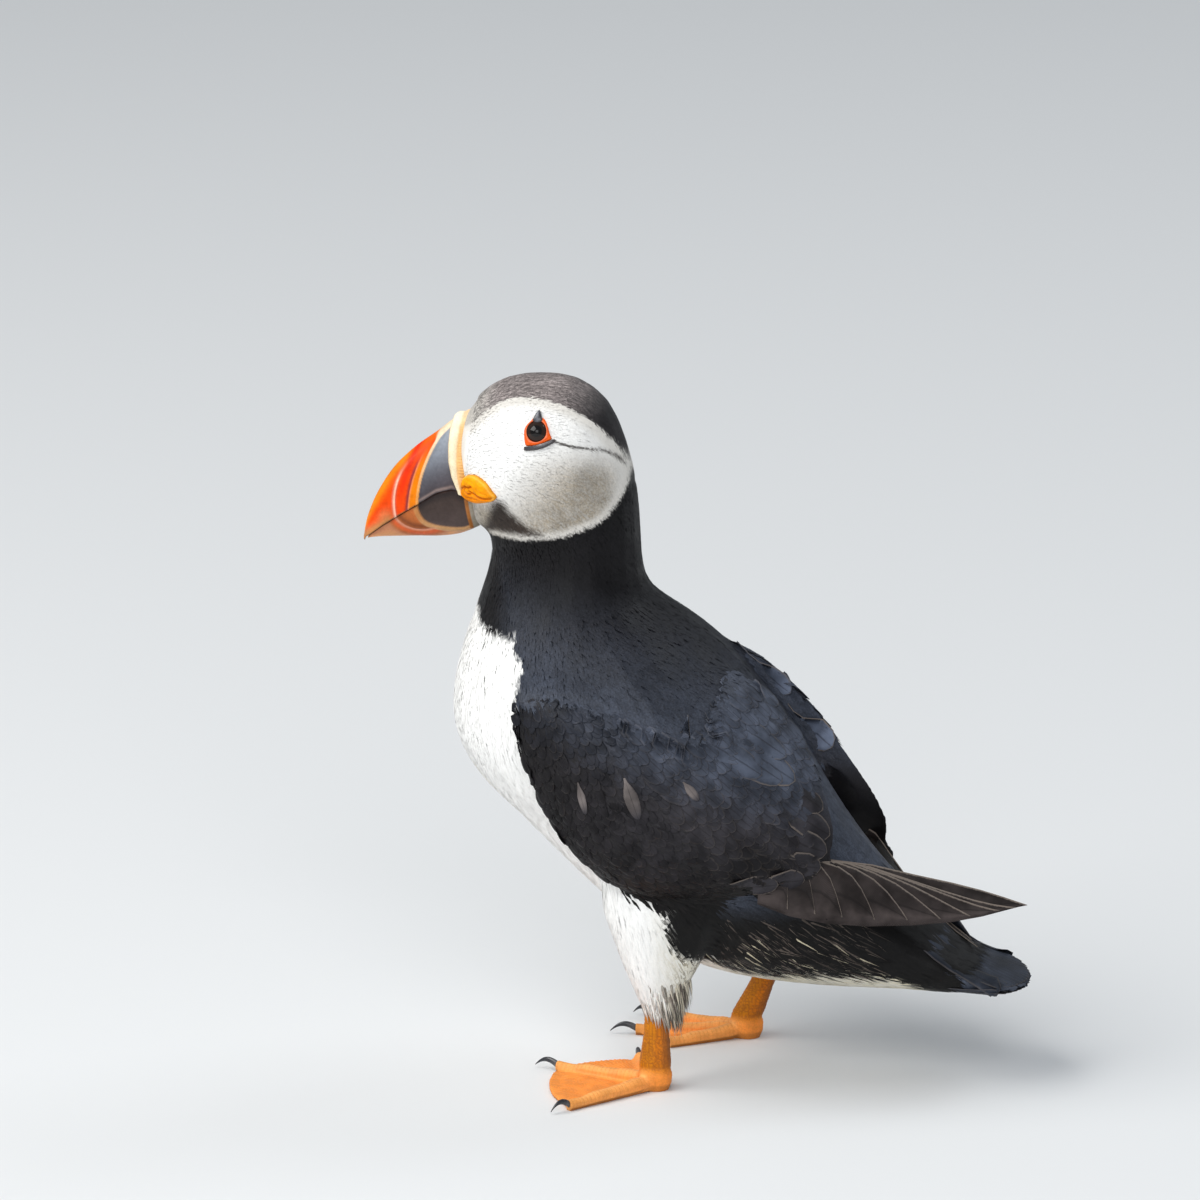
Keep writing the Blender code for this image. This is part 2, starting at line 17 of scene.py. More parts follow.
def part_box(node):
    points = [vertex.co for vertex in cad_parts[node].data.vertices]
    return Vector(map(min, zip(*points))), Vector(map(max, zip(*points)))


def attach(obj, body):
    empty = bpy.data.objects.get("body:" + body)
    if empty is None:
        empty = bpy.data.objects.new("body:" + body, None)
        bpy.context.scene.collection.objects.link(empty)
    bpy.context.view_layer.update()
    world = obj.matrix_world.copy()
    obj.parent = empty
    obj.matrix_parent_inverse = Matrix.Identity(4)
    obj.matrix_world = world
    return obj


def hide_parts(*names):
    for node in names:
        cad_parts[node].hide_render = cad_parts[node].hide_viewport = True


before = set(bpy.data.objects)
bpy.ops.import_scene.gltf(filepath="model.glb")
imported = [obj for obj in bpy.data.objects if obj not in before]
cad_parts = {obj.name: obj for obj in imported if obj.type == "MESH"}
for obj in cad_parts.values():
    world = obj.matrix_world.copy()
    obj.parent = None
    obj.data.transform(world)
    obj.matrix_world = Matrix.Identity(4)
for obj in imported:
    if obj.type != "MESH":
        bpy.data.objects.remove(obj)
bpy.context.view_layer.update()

# %% [markdown]
# ## Bird coordinates
# Places on the bird are easiest to say in millimetres from its own mid-plane: x to its left, y towards
# the tail, z up from the floor. The frame's boxes tie them to the solids, so nothing has to be fitted.

# %% Bird coordinates
MM = 0.001
BILL_REACH = 96.4  # from the line y = 0 forward to the bill tip
bill_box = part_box("bill_upper")
ORIGIN = np.array([(bill_box[0].x + bill_box[1].x) / 2, bill_box[0].y + BILL_REACH * MM, 0.0])
LEFT, RIGHT = 1, -1
SIDES = {LEFT: "left", RIGHT: "right"}


def to_world(points):
    return np.asarray(points, float) * MM + ORIGIN


def to_bird(points):
    return (np.asarray(points, float) - ORIGIN) / MM


def unit(vectors):
    return vectors / np.maximum(np.linalg.norm(vectors, axis=-1, keepdims=True), 1e-9)


def smooth(low, high, value):
    """0 below low, 1 above high and a soft step between them."""
    share = np.clip((value - low) / (high - low), 0, 1)
    return share * share * (3 - 2 * share)


print("bird's own zero is at", ORIGIN)

# %% [markdown]
# ## Camera
# A long lens looks from the bird's left and a little above it at the middle of the bird.

# %% Camera
AZIMUTH, ELEVATION = math.radians(98), math.radians(15)
DISTANCE = 3.0
TARGET = Vector(to_world((-29.9, -33.0, 127.6)))
toward = Vector((math.sin(AZIMUTH) * math.cos(ELEVATION), -math.cos(AZIMUTH) * math.cos(ELEVATION),
                 math.sin(ELEVATION)))
right = Vector((math.cos(AZIMUTH), math.sin(AZIMUTH), 0))
lens = bpy.data.cameras.new("camera")
lens.lens, lens.sensor_width, lens.clip_start = 315, 36, 0.1
camera = bpy.data.objects.new("camera", lens)
bpy.context.scene.collection.objects.link(camera)
turn = Matrix((right, toward.cross(right), toward)).transposed().to_4x4()
camera.matrix_world = Matrix.Translation(TARGET + toward * DISTANCE) @ turn
bpy.context.scene.camera = camera

# %% [markdown]
# ## Tools for pieces
# A piece is a welded copy of some solids, or a new mesh. Its vertices are read and moved as whole arrays
# in bird coordinates. Colours and numbers are stored on them, and the finishes read those.

# %% Tools for pieces
def select_only(*objects):
    bpy.ops.object.select_all(action="DESELECT")
    for obj in objects:
        obj.select_set(True)
    bpy.context.view_layer.objects.active = objects[0]


def edit(piece, *steps):
    """Runs each step in edit mode on the whole of a piece."""
    select_only(piece)
    bpy.ops.object.mode_set(mode="EDIT")
    for step in steps:
        bpy.ops.mesh.select_all(action="SELECT")
        step()
    bpy.ops.object.mode_set(mode="OBJECT")


def copy_nodes(name, *nodes):
    """A welded copy of some of the frame's solids, joined into one piece."""
    select_only(*[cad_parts[node] for node in nodes])
    bpy.ops.object.duplicate()
    if len(nodes) > 1:
        bpy.ops.object.join()
    piece = bpy.context.active_object
    piece.parent = None
    piece.matrix_world = Matrix.Identity(4)
    for key in list(piece.keys()):
        del piece[key]
    piece.name = piece.data.name = name
    select_only(piece)
    bpy.ops.mesh.customdata_custom_splitnormals_clear()
    edit(piece, lambda: bpy.ops.mesh.remove_doubles(threshold=0.02 * MM))
    return piece


def apply_modifier(piece, kind, **settings):
    select_only(piece)
    modifier = piece.modifiers.new(kind.title(), kind)
    for key, value in settings.items():
        setattr(modifier, key, value)
    bpy.ops.object.modifier_apply(modifier=modifier.name)


def new_object(name, data):
    made = bpy.data.objects.new(name, data)
    bpy.context.scene.collection.objects.link(made)
    return made


def grid_piece(name, points, wrap_rows=False):
    """A piece from a (rows, columns, 3) grid whose columns wrap round, closed by caps or by wrapped rows."""
    rows, columns = points.shape[:2]
    faces = []
    for i in range(rows if wrap_rows else rows - 1):
        here, below = i * columns, (i + 1) % rows * columns
        for j in range(columns):
            after = (j + 1) % columns
            faces.append((here + j, here + after, below + after, below + j))
    if not wrap_rows:
        faces.append(tuple(reversed(range(columns))))
        faces.append(tuple((rows - 1) * columns + j for j in range(columns)))
    mesh = bpy.data.meshes.new(name)
    mesh.from_pydata(to_world(points.reshape(-1, 3)).tolist(), [], faces)
    piece = new_object(name, mesh)
    edit(piece, lambda: bpy.ops.mesh.normals_make_consistent(inside=False))
    bpy.ops.object.shade_smooth()
    return piece


def read(elements, name, size=1, kind=np.float32):
    """One property of all vertices, loops or triangles, as rows of size numbers."""
    flat = np.zeros(len(elements) * size, kind)
    elements.foreach_get(name, flat)
    return flat.reshape(-1, size)


def coordinates(piece):
    return to_bird(read(piece.data.vertices, "co", 3))


def normals(piece):
    return read(piece.data.vertices, "normal", 3).astype(float)


def move(piece, points):
    """Puts the vertices at these bird coordinates."""
    piece.data.vertices.foreach_set("co", to_world(points).astype(np.float32).ravel())
    piece.data.update()


def paint(piece, name, values):
    """Stores a number or a colour for each vertex."""
    values = np.asarray(values, np.float32)
    if values.ndim == 1:
        piece.data.attributes.new(name, "FLOAT", "POINT").data.foreach_set("value", values)
    else:
        full = np.column_stack([values, np.ones(len(values), np.float32)])
        piece.data.attributes.new(name, "FLOAT_COLOR", "POINT").data.foreach_set("color", full.ravel())


def dress(piece, material, slot, *nodes, **stored):
    """Gives a piece its stored values, its material, its body and the nodes it stands for. The slot is not used."""
    for name, values in stored.items():
        paint(piece, name, values)
    piece.data.materials.clear()
    piece.data.materials.append(material)
    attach(piece, "root")
    if nodes:
        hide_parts(*nodes)
    print(piece.name, sum(len(p.vertices) - 2 for p in piece.data.polygons), "triangles")


# %% [markdown]
# ## Lines and curves
# Outlines are given by a few corners. They are read as smooth curves through those corners, or as
# distances from the straight lines between them.

# %% Lines and curves
def through(stations, at):
    """A smooth curve through rows of numbers, read at places along the first number."""
    stations = np.array(stations, float)
    padded = np.vstack([2 * stations[0] - stations[1], stations, 2 * stations[-1] - stations[-2]])
    shares = np.linspace(0, 1, 12, endpoint=False)[:, None]
    fine = []
    for p0, p1, p2, p3 in zip(padded, padded[1:], padded[2:], padded[3:]):
        fine.append(0.5 * (2 * p1 + (p2 - p0) * shares + (2 * p0 - 5 * p1 + 4 * p2 - p3) * shares**2
                           + (3 * p1 - p0 - 3 * p2 + p3) * shares**3))
    fine = np.vstack(fine + [stations[-1:]])
    return np.stack([np.interp(at, fine[:, 0], fine[:, k]) for k in range(stations.shape[1])], axis=-1)


def open_curve(corners, count):
    """A smooth curve through corners, as count points."""
    numbered = [(i, *corner) for i, corner in enumerate(corners)]
    return through(numbered, np.linspace(0, len(corners) - 1, count))[:, 1:]


def closed_curve(corners, count):
    """A smooth closed curve through corners, as count points."""
    corners = np.array(corners, float)
    ring = np.vstack([corners[-2:], corners, corners[:3]])
    numbered = np.column_stack([np.arange(len(ring)), ring])
    return through(numbered, np.linspace(2, len(corners) + 2, count + 1)[:-1])[:, 1:]


def line_distance(offsets, *line):
    """Distance from each offset to an open line of corners."""
    nearest = np.full(offsets.shape[:-1], 1e9)
    for start, end in zip(line, line[1:]):
        start, along = np.array(start), np.subtract(end, start)
        share = np.clip(((offsets - start) @ along) / (along @ along), 0, 1)
        nearest = np.minimum(nearest, np.linalg.norm(offsets - start - share[..., None] * along, axis=-1))
    return nearest


def inside(corners, points):
    """Distance in mm from a closed border in the side view, positive inside it."""
    y, z = points[:, 1], points[:, 2]
    nearest = np.full(len(points), 1e9)
    within = np.zeros(len(points), bool)
    for (y0, z0), (y1, z1) in zip(corners, corners[1:] + corners[:1]):
        along = np.array((y1 - y0, z1 - z0))
        share = np.clip(((y - y0) * along[0] + (z - z0) * along[1]) / (along @ along), 0, 1)
        nearest = np.minimum(nearest, np.hypot(y - y0 - share * along[0], z - z0 - share * along[1]))
        if z0 != z1:
            crosses = (z0 > z) != (z1 > z)
            within ^= crosses & (y < y0 + (z - z0) * (y1 - y0) / (z1 - z0))
    return np.where(within, nearest, -nearest)


# %% [markdown]
# ## Colours in layers
# Every colour is a base with thin layers over it. How much of a layer shows is worked out from places,
# mostly as soft steps and bell-shaped bands.

# %% Colour tools
def bell(distance, width):
    """1 at no distance, falling off softly within about the width."""
    return np.exp(-(distance / width) ** 2)


def over(base, top, share):
    return base + (top - base) * share[:, None]


def layered(base, *layers):
    """Colours laid over each other: each layer is (colour, amount)."""
    colour = np.broadcast_to(np.array(base, float), (len(layers[0][1]), 3)).copy()
    for top, amount in layers:
        colour = over(colour, np.array(top), np.clip(amount, 0, 1))
    return colour


# %% [markdown]
# ## Floor and lamps
# The floor is one big pale sheet. One wide lamp stands in front of the bird as the bright side of the
# sky, and two weaker ones lift the shadows. A pale sky fills in the rest, as on an overcast day.

# %% Floor and lamps
bpy.ops.object.select_all(action="DESELECT")
bpy.ops.mesh.primitive_plane_add(size=8, location=(0, 0, 0))
floor = bpy.context.active_object
floor.name = "floor"
floor_paint = bpy.data.materials.new("floor")
floor_paint.use_nodes = True
shader = floor_paint.node_tree.nodes["Principled BSDF"]
shader.inputs["Base Color"].default_value = (0.78, 0.79, 0.80, 1)
shader.inputs["Roughness"].default_value = 0.85
floor.data.materials.append(floor_paint)

LAMPS = (  # place in metres, width, watts, colour
    ((0.75, -1.35, 1.9), 1.9, 50, (1.0, 0.985, 0.95)),
    ((1.9, 0.3, 1.2), 1.4, 18, (0.97, 0.98, 1.0)),
    ((-1.1, 1.3, 1.7), 1.0, 8, (0.92, 0.96, 1.0)),
)
for number, (spot, width, watts, colour) in enumerate(LAMPS):
    lamp = bpy.data.lights.new(f"lamp_{number}", "AREA")
    lamp.size, lamp.energy, lamp.color = width, watts, colour
    holder = new_object(f"lamp_{number}", lamp)
    holder.location = spot
    holder.rotation_euler = (Vector(spot) - Vector((0, 0, 0.1))).to_track_quat("Z", "Y").to_euler()
bpy.context.scene.view_settings.view_transform = "Standard"
sky = bpy.data.worlds.new("sky")
bpy.context.scene.world = sky
sky.use_nodes = True
sky.node_tree.nodes["Background"].inputs["Color"].default_value = (0.80, 0.86, 0.92, 1)
sky.node_tree.nodes["Background"].inputs["Strength"].default_value = 0.36

# %% [markdown]
# ## One skin for all the flesh
# Under its feathers the bird is one piece, so head, neck, trunk, tail, thighs and wings are copied,
# swollen until the thin gaps between them close, remeshed into one surface and smoothed. It then
# shrinks by the depth of the coat, which will grow back out to the solids' true outline. The flight
# feathers are cut off first, as they have no skin.

# %% Skin
FLESH = ("head", "neck", "trunk", "tail", "thigh_left", "thigh_right", "wing_left", "wing_right")
SWELL, SKIN_VOXEL = 0.3, 0.95
FLIGHT_CUT = {"wing_left": 43.5, "wing_right": 52.5}  # y beyond which a wing is only flight feathers
parts = []
for node in FLESH + ("eye_left", "eye_right"):  # the eyeballs only fill their sockets
    part = copy_nodes("flesh_" + node, node)
    steps = [lambda: bpy.ops.transform.shrink_fatten(value=SWELL * MM)]
    if node in FLIGHT_CUT:
        cut = to_world((0, FLIGHT_CUT[node], 0))
        steps.insert(0, lambda: bpy.ops.mesh.bisect(plane_co=cut, plane_no=(0, 1, 0), use_fill=True,
                                                    clear_outer=True))
    edit(part, *steps)
    parts.append(part)
select_only(*parts)
bpy.ops.object.join()
skin = bpy.context.active_object
skin.name = skin.data.name = "skin"
apply_modifier(skin, "REMESH", mode="VOXEL", voxel_size=SKIN_VOXEL * MM)
apply_modifier(skin, "SMOOTH", factor=0.5, iterations=5)

# %% [markdown]
# ## Parts of the skin
# Which part of the bird each bit of skin belongs to is read from the nearest solid. The skin then sinks
# below the solids by the depth that the coat has on that part.

# %% Parts of the skin
flesh_corners, flesh_faces, flesh_owner = [], [], []
for index, node in enumerate(FLESH):
    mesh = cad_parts[node].data
    start = len(flesh_corners)
    flesh_corners += [to_bird(v.co[:]) for v in mesh.vertices]
    flesh_faces += [[start + v for v in p.vertices] for p in mesh.polygons]
    flesh_owner += [index] * len(mesh.polygons)
flesh_tree = BVHTree.FromPolygons(flesh_corners, flesh_faces)
HEAD, NECK, TRUNK, TAIL, THIGH, WING = 0, 1, 2, 3, 4, 6
KINDS = np.array((HEAD, NECK, TRUNK, TAIL, THIGH, THIGH, WING, WING))  # the kind of each piece of flesh
COAT_DEPTH = {HEAD: 0.5, NECK: 0.8, TRUNK: 0.9, TAIL: 0.6, THIGH: 0.8, WING: 1.0}


def part_of(points):
    """The kind of flesh nearest to each point."""
    return KINDS[[flesh_owner[flesh_tree.find_nearest(p)[2]] for p in points]]


skin_points = coordinates(skin)
depth = np.array([COAT_DEPTH[kind] for kind in part_of(skin_points)])
move(skin, skin_points - normals(skin) * (depth + SWELL)[:, None])
apply_modifier(skin, "SMOOTH", factor=0.5, iterations=2)
select_only(skin)
bpy.ops.object.shade_smooth()
skin_points = coordinates(skin)

# %% [markdown]
# ## How the feathers lie
# Feathers run from the bill back over the head, down the neck and breast and towards the tail. A few
# combs say, for a place on the left side, which way the coat lies there and how long and wide its
# tufts are. Anywhere between, the nearest combs are blended. The right side mirrors the left.

# %% Combs
# place (x, y, z), direction (x, y, z), tuft length, tuft width
COMBS = np.array([
    # crown and nape
    (0, -66, 190, 0, 0.70, 0.70, 1.7, 0.50),
    (0, -58, 199, 0, 0.95, 0.30, 2.4, 0.55),
    (0, -44, 201, 0, 1.00, 0.00, 3.0, 0.60),
    (0, -30, 197, 0, 0.75, -0.65, 3.4, 0.65),
    (0, -21, 184, 0, 0.35, -0.95, 3.8, 0.70),
    (0, -17, 165, 0, 0.05, -1.00, 4.2, 0.75),
    (0, -15, 146, 0, 0.15, -1.00, 4.6, 0.85),
    # face
    (9, -66, 178, 0.5, 0.80, 0.05, 1.6, 0.45),
    (14, -60, 184, 0.4, 0.90, 0.25, 2.0, 0.48),
    (18, -50, 180, 0.15, 1.00, -0.20, 2.4, 0.50),
    (19, -50, 191, 0.1, 1.00, 0.25, 2.2, 0.48),
    (19, -38, 190, 0, 1.00, -0.05, 2.6, 0.50),
    (21, -36, 178, 0, 0.95, -0.35, 3.0, 0.55),
    (16, -27, 182, 0, 0.92, -0.45, 3.0, 0.55),
    (20, -28, 170, 0, 0.75, -0.70, 3.4, 0.60),
    (20, -44, 166, 0, 0.80, -0.60, 3.2, 0.58),
    (13, -60, 162, 0.2, 0.85, -0.45, 2.4, 0.50),
    (0, -62, 155, 0, 0.80, -0.50, 2.6, 0.55),
    (18, -48, 155, 0, 0.55, -0.85, 3.6, 0.65),
    # neck and breast
    (21, -35, 148, 0, 0.15, -1.00, 4.2, 0.75),
    (0, -61, 144, 0, 0.00, -1.00, 3.8, 0.75),
    (26, -48, 132, 0.1, 0.25, -1.00, 4.6, 0.85),
    (0, -68, 122, 0, -0.10, -1.00, 4.6, 0.90),
    (0, -71, 103, 0, 0.10, -1.00, 5.2, 0.95),
    (30, -55, 110, 0.1, 0.35, -0.95, 5.2, 0.95),
    (0, -60, 82, 0, 0.55, -0.85, 5.8, 1.00),
    (26, -40, 72, 0, 0.60, -0.80, 5.8, 1.00),
    (0, -36, 60, 0, 0.75, -0.65, 6.2, 1.00),
    (0, -8, 36, 0, 0.90, -0.40, 6.4, 1.05),
    (0, 25, 28, 0, 1.00, 0.05, 7.0, 1.10),
    (0, 55, 26, 0, 1.00, 0.05, 8.0, 1.30),
    # thighs and flanks
    (26, -14, 52, 0, 0.25, -1.00, 6.0, 0.90),
    (26, -8, 34, 0, 0.30, -1.00, 5.4, 0.85),
    (30, 14, 48, 0, 0.65, -0.75, 9.0, 1.00),
    (26, 34, 44, 0, 0.85, -0.50, 9.0, 1.20),
    # back and rump
    (10, -10, 135, 0, 0.60, -0.80, 5.0, 0.95),
    (10, 8, 123, 0.1, 0.75, -0.65, 5.6, 1.05),
    (8, 26, 104, 0.1, 0.72, -0.70, 6.4, 1.20),
    (0, 44, 76, 0, 0.72, -0.70, 7.0, 1.30),
    (0, 62, 52, 0, 0.80, -0.60, 8.0, 1.50),
    (0, 85, 33, 0, 0.98, -0.20, 8.0, 1.60),
    # wing
    (34, -44, 118, 0.1, 0.45, -0.90, 4.2, 0.90),
    (46, -30, 108, 0.1, 0.70, -0.75, 5.0, 1.00),
    (40, -40, 88, 0, 0.45, -0.90, 4.8, 0.95),
    (49, -5, 92, 0, 0.78, -0.62, 6.0, 1.15),
    (44, -16, 70, 0, 0.80, -0.60, 5.8, 1.10),
    (42, 18, 66, 0, 0.96, -0.25, 6.6, 1.30),
    (38, 26, 84, 0, 0.85, -0.52, 6.8, 1.30),
    (26, -5, 120, 0.1, 0.75, -0.65, 5.4, 1.05),
])


def comb(points, out):
    """Direction, length and width of the coat at points whose outward normals are out."""
    mirrored = points.copy()
    mirrored[:, 0] = np.abs(points[:, 0])
    apart = ((mirrored[:, None, :] - COMBS[None, :, :3]) ** 2).sum(2)
    weight = 1 / (apart + 9) ** 1.6
    weight /= weight.sum(1, keepdims=True)
    way = weight @ COMBS[:, 3:6]
    way[:, 0] *= np.sign(points[:, 0])
    way -= out * (way * out).sum(1, keepdims=True)
    sizes = weight @ COMBS[:, 6:8]
    return unit(way), sizes[:, 0], sizes[:, 1]


# %% [markdown]
# ## Markings
# The plumage is painted by place: a pale face bounded by the cap, the nape and the throat, a black
# collar, a white belly that ends at the dark flanks, and dark wings. Each border is a smooth line in
# the side view. A tuft reads its colour at its root, its middle and its tip, and its own random number
# shifts the border a little, so borders come out as ragged as real ones.

# %% Markings
PALETTE = {
    "white": (0.95, 0.945, 0.925),
    # the face's greyish tone, also used as painted shade on the lower rear of the cheek
    "ash_and_shade": (0.29, 0.245, 0.185),
    "rim": (0.74, 0.71, 0.66),
    "chin": (0.42, 0.37, 0.30),
    "throat": (0.036, 0.026, 0.021),
    # the crown's grey-brown, made pale partly as painted light from above
    "cap": (0.36, 0.31, 0.30),
    "brow": (0.62, 0.59, 0.54),
    "nape": (0.020, 0.0175, 0.019),
    "collar": (0.0062, 0.0056, 0.0066),
    # blue-black of back and upper wing: partly the feathers' own colour, partly painted sheen
    "back": (0.0510, 0.0600, 0.0830),
    "wing": (0.0280, 0.0260, 0.0300),
    "wing_low": (0.0042, 0.0036, 0.0040),
    "stain": (0.74, 0.58, 0.27),
    "flank": (0.005, 0.0045, 0.0045),
    "streak": (0.115, 0.092, 0.078),
    "cream": (0.62, 0.56, 0.40),
}
# Borders as (y, z) corners in the side view.
FACE = (
    (-68.5, 165.0), (-68.0, 176.0), (-67.0, 186.0), (-63.8, 188.2), (-59.9, 192.0), (-55.6, 195.1),
    (-51.3, 196.4), (-47.0, 196.8), (-42.6, 196.5), (-38.3, 195.3), (-34.1, 193.6), (-30.0, 191.0),
    (-26.8, 187.8), (-24.2, 184.5), (-21.7, 180.6), (-19.4, 175.9), (-19.8, 172.4), (-20.6, 169.6),
    (-22.3, 166.7), (-24.2, 164.4), (-27.0, 162.3), (-30.4, 160.9), (-35.8, 159.1), (-41.5, 158.0),
    (-46.6, 157.4), (-51.9, 157.2), (-55.8, 157.0), (-60.0, 156.0), (-66.0, 153.0),
)
BELLY = (
    (-80, 137), (-66, 136), (-62.5, 134.6), (-60.8, 131.3), (-55.7, 130.2), (-51.8, 130.1), (-48.5, 130.8),
    (-49.8, 128.3), (-46.4, 123.6), (-47.6, 119), (-48.5, 112), (-44, 100), (-30, 88), (-22, 84), (-12.5, 59),
    (-8.5, 53), (-5, 45), (0, 39), (6, 35.5), (14, 34.5), (36, 35.0), (55, 33.0), (64, 30.0), (70, 26),
    (70, 0), (-80, 0),
)
THROAT = ((-62, 156), (-59, 160.5), (-56.5, 167.5), (-54.3, 168.0), (-51.4, 164.2), (-47.6, 161.6),
          (-44.0, 159.9), (-41.5, 158.4), (-50, 158.6), (-56, 158.6))
FURROW = ((-39.5, 186.4), (-37.0, 185.4), (-32.0, 184.0), (-26.4, 182.7), (-23.6, 180.7), (-21.0, 177.6))
STAINS = (((0, -66, 95), 12, 0.7), ((4, -60, 84), 14, 0.9), ((4, -51, 73), 13, 0.7))  # place, reach, strength


def near(points, spot, reach):
    """1 at a spot (x, y, z) on either side, fading to 0 at the reach."""
    apart = points - np.array(spot)
    apart[:, 0] = np.abs(points[:, 0]) - spot[0]
    return 1 - smooth(0, reach, np.linalg.norm(apart, axis=1))


def mix(colour, name, share):
    return over(colour, np.array(PALETTE[name]), np.clip(share, 0, 1))


def markings(points, part, chance):
    """The colour of the plumage; chance is a number from 0 to 1 for each tuft."""
    y, z = points[:, 1], points[:, 2]
    stray = chance - 0.5

    def plain(name):
        return np.tile(PALETTE[name], (len(points), 1)).astype(float)

    # head and neck
    collared = np.maximum(smooth(106, 149, z + 0.3 * (y + 30)), 1 - smooth(-58, -42, y))
    head = mix(plain("collar"), "back", 1 - collared)
    on_cap = smooth(168, 186, z + 0.35 * (y + 30))
    head = mix(head, "nape", on_cap)
    # Partly painted light: the cap's grey-brown grows towards the top of the head, paler than the crown's own tone
    # where the light from above falls.
    head = mix(head, "cap", smooth(180, 199, z - 0.55 * (y + 45)) * on_cap * (0.45 + 0.55 * chance))
    on_brow = (1 - smooth(3.5, 15, y + 68.5 + 0.25 * (z - 189))) * smooth(172, 178, z)
    head = mix(head, "brow", on_brow * (0.5 + 0.5 * chance))
    face = inside(FACE, points) + stray * 0.5
    # Partly painted shade: the lower rear of the cheek, where the neck shades it, is darkened towards the ash grey;
    # the face's own greyish tone is in it too.
    shade = smooth(-56, -30, y + 0.75 * (178 - z)) * (1 - smooth(176, 190, z + 0.2 * (y + 40)))
    pale = mix(plain("white"), "ash_and_shade", shade * (0.72 + 0.26 * chance) * (1 - 0.6 * smooth(-26, -20, y)))
    pale = mix(pale, "ash_and_shade", smooth(-46, -26, y) * smooth(180, 190, z) * 0.35 * chance)
    pale = mix(pale, "rim", 1 - smooth(0.6, 3.2, face))
    chin = smooth(-68, -60, y) * smooth(-169, -163, -z) * (1 - smooth(-57, -50, y))
    pale = mix(pale, "chin", np.maximum(chin, 1 - smooth(-67, -63, y + 0.5 * (164 - z))) * (z < 168))
    pale = mix(pale, "throat", smooth(-2.2, 1.2, inside(THROAT, points) + stray))
    pale = mix(pale, "rim", (1 - smooth(0.0, 1.1, np.abs(face - 0.7))) * (y > -59) * 0.8)
    # Partly painted shade: the furrow behind the eye is a crease in the feathers, drawn only as a dark line in the
    # throat colour. The line is partly the crease's own dark feathers, partly painted shade in it; no groove is cut.
    in_furrow = 1 - smooth(0.10, 0.48, line_distance(points[:, 1:], *FURROW))
    pale = mix(pale, "throat", in_furrow * (y < -20) * 0.9)
    head = over(head, pale, smooth(-0.25, 0.25, face))
    # trunk
    body = mix(plain("back"), "collar", collared)
    body = mix(body, "flank", smooth(-62, -50, -z) * (y > -20))
    belly = inside(BELLY, points) + stray * (0.9 + 1.6 * smooth(2, 14, y))
    white = mix(plain("white"), "cream", smooth(-10, 20, y) * (0.45 + 0.5 * chance))
    for spot, reach, strength in STAINS:
        white = mix(white, "stain", near(points, spot, reach) * strength * (0.15 + 0.5 * chance))
    on_belly = smooth(-0.4, 0.4, belly)
    body = over(body, white, on_belly)
    # thighs, the right one further back
    behind = y - (points[:, 0] < 0) * 24
    thigh = mix(plain("white"), "cream", smooth(-12, 2, behind) * (0.35 + 0.6 * chance))
    thigh = mix(thigh, "streak", smooth(-6, 4, behind + 0.3 * (36 - z)) * (chance > 0.62) * 0.8)
    rear_edge = np.interp(z, (32, 37, 40, 44, 57), (12, 7, 1, -3.4, -5.9))
    thigh = mix(thigh, "flank", smooth(-0.8, 0.8, behind - rear_edge + stray * 3.0))
    # wings and tail
    # Painted sheen: the top of the wing takes the lighter, bluer back colour; towards its lower front it darkens to
    # wing_low.
    wing = mix(plain("wing"), "back", smooth(92, 110, z + 0.30 * (y + 10)) * 0.9)
    low = np.maximum(0.8 * (1 - smooth(-40, 4, y + 0.45 * (z - 92))), 1 - smooth(60, 90, z))
    wing = mix(wing, "wing_low", low)
    tail = over(plain("back"), white, on_belly)
    colour = np.where((part <= NECK)[:, None], head, body)
    for here, own in (((part == NECK) & (belly > 0), white), (part == THIGH, thigh), (part == WING, wing),
                      (part == TAIL, tail)):
        colour = np.where(here[:, None], own, colour)
    return colour


# %% [markdown]
# ## Tools for finishes
# A finish is a Principled shader with a few nodes. Its main colour is the one stored on the mesh. The
# nodes add what is too fine to store or to model: flecks, cloudy tones, barbs and pores.

# %% Finish tools
def new_material(name, **sockets):
    made = bpy.data.materials.new(name)
    made.use_nodes = True
    shader = made.node_tree.nodes["Principled BSDF"]
    for label, value in sockets.items():
        shader.inputs[label.replace("_", " ")].default_value = value
    return made, made.node_tree, shader


def add(tree, kind, links=None, **settings):
    """A node with its settings, and its sockets set to values or linked to other sockets."""
    node = tree.nodes.new(kind)
    for key, value in settings.items():
        setattr(node, key, value)
    for socket, value in (links or {}).items():
        if isinstance(value, bpy.types.NodeSocket):
            tree.links.new(value, node.inputs[socket])
        else:
            node.inputs[socket].default_value = value
    return node


def stored(tree, name, output="Fac"):
    return add(tree, "ShaderNodeAttribute", attribute_name=name).outputs[output]


def noise(tree, scale, detail=3.0):
    spot = add(tree, "ShaderNodeTexCoord").outputs["Object"]
    return add(tree, "ShaderNodeTexNoise", {"Vector": spot, "Scale": scale, "Detail": detail}).outputs["Fac"]


def math_node(tree, operation, first, second=0.0):
    return add(tree, "ShaderNodeMath", {0: first, 1: second}, operation=operation).outputs[0]


def product(tree, first, *others):
    for other in others:
        first = math_node(tree, "MULTIPLY", first, other)
    return first


def ramp(tree, value, low, high, to_low=0.0, to_high=1.0):
    """A soft step of a value from one level to another."""
    return add(tree, "ShaderNodeMapRange", {0: value, 1: low, 2: high, 3: to_low, 4: to_high},
               interpolation_type="SMOOTHSTEP").outputs[0]


def scaled(tree, colour, level):
    return add(tree, "ShaderNodeVectorMath", {0: colour, "Scale": level}, operation="SCALE").outputs[0]


def mix_node(tree, share, first, second):
    return add(tree, "ShaderNodeMix", {0: share, 6: first, 7: second}, data_type="RGBA").outputs[2]


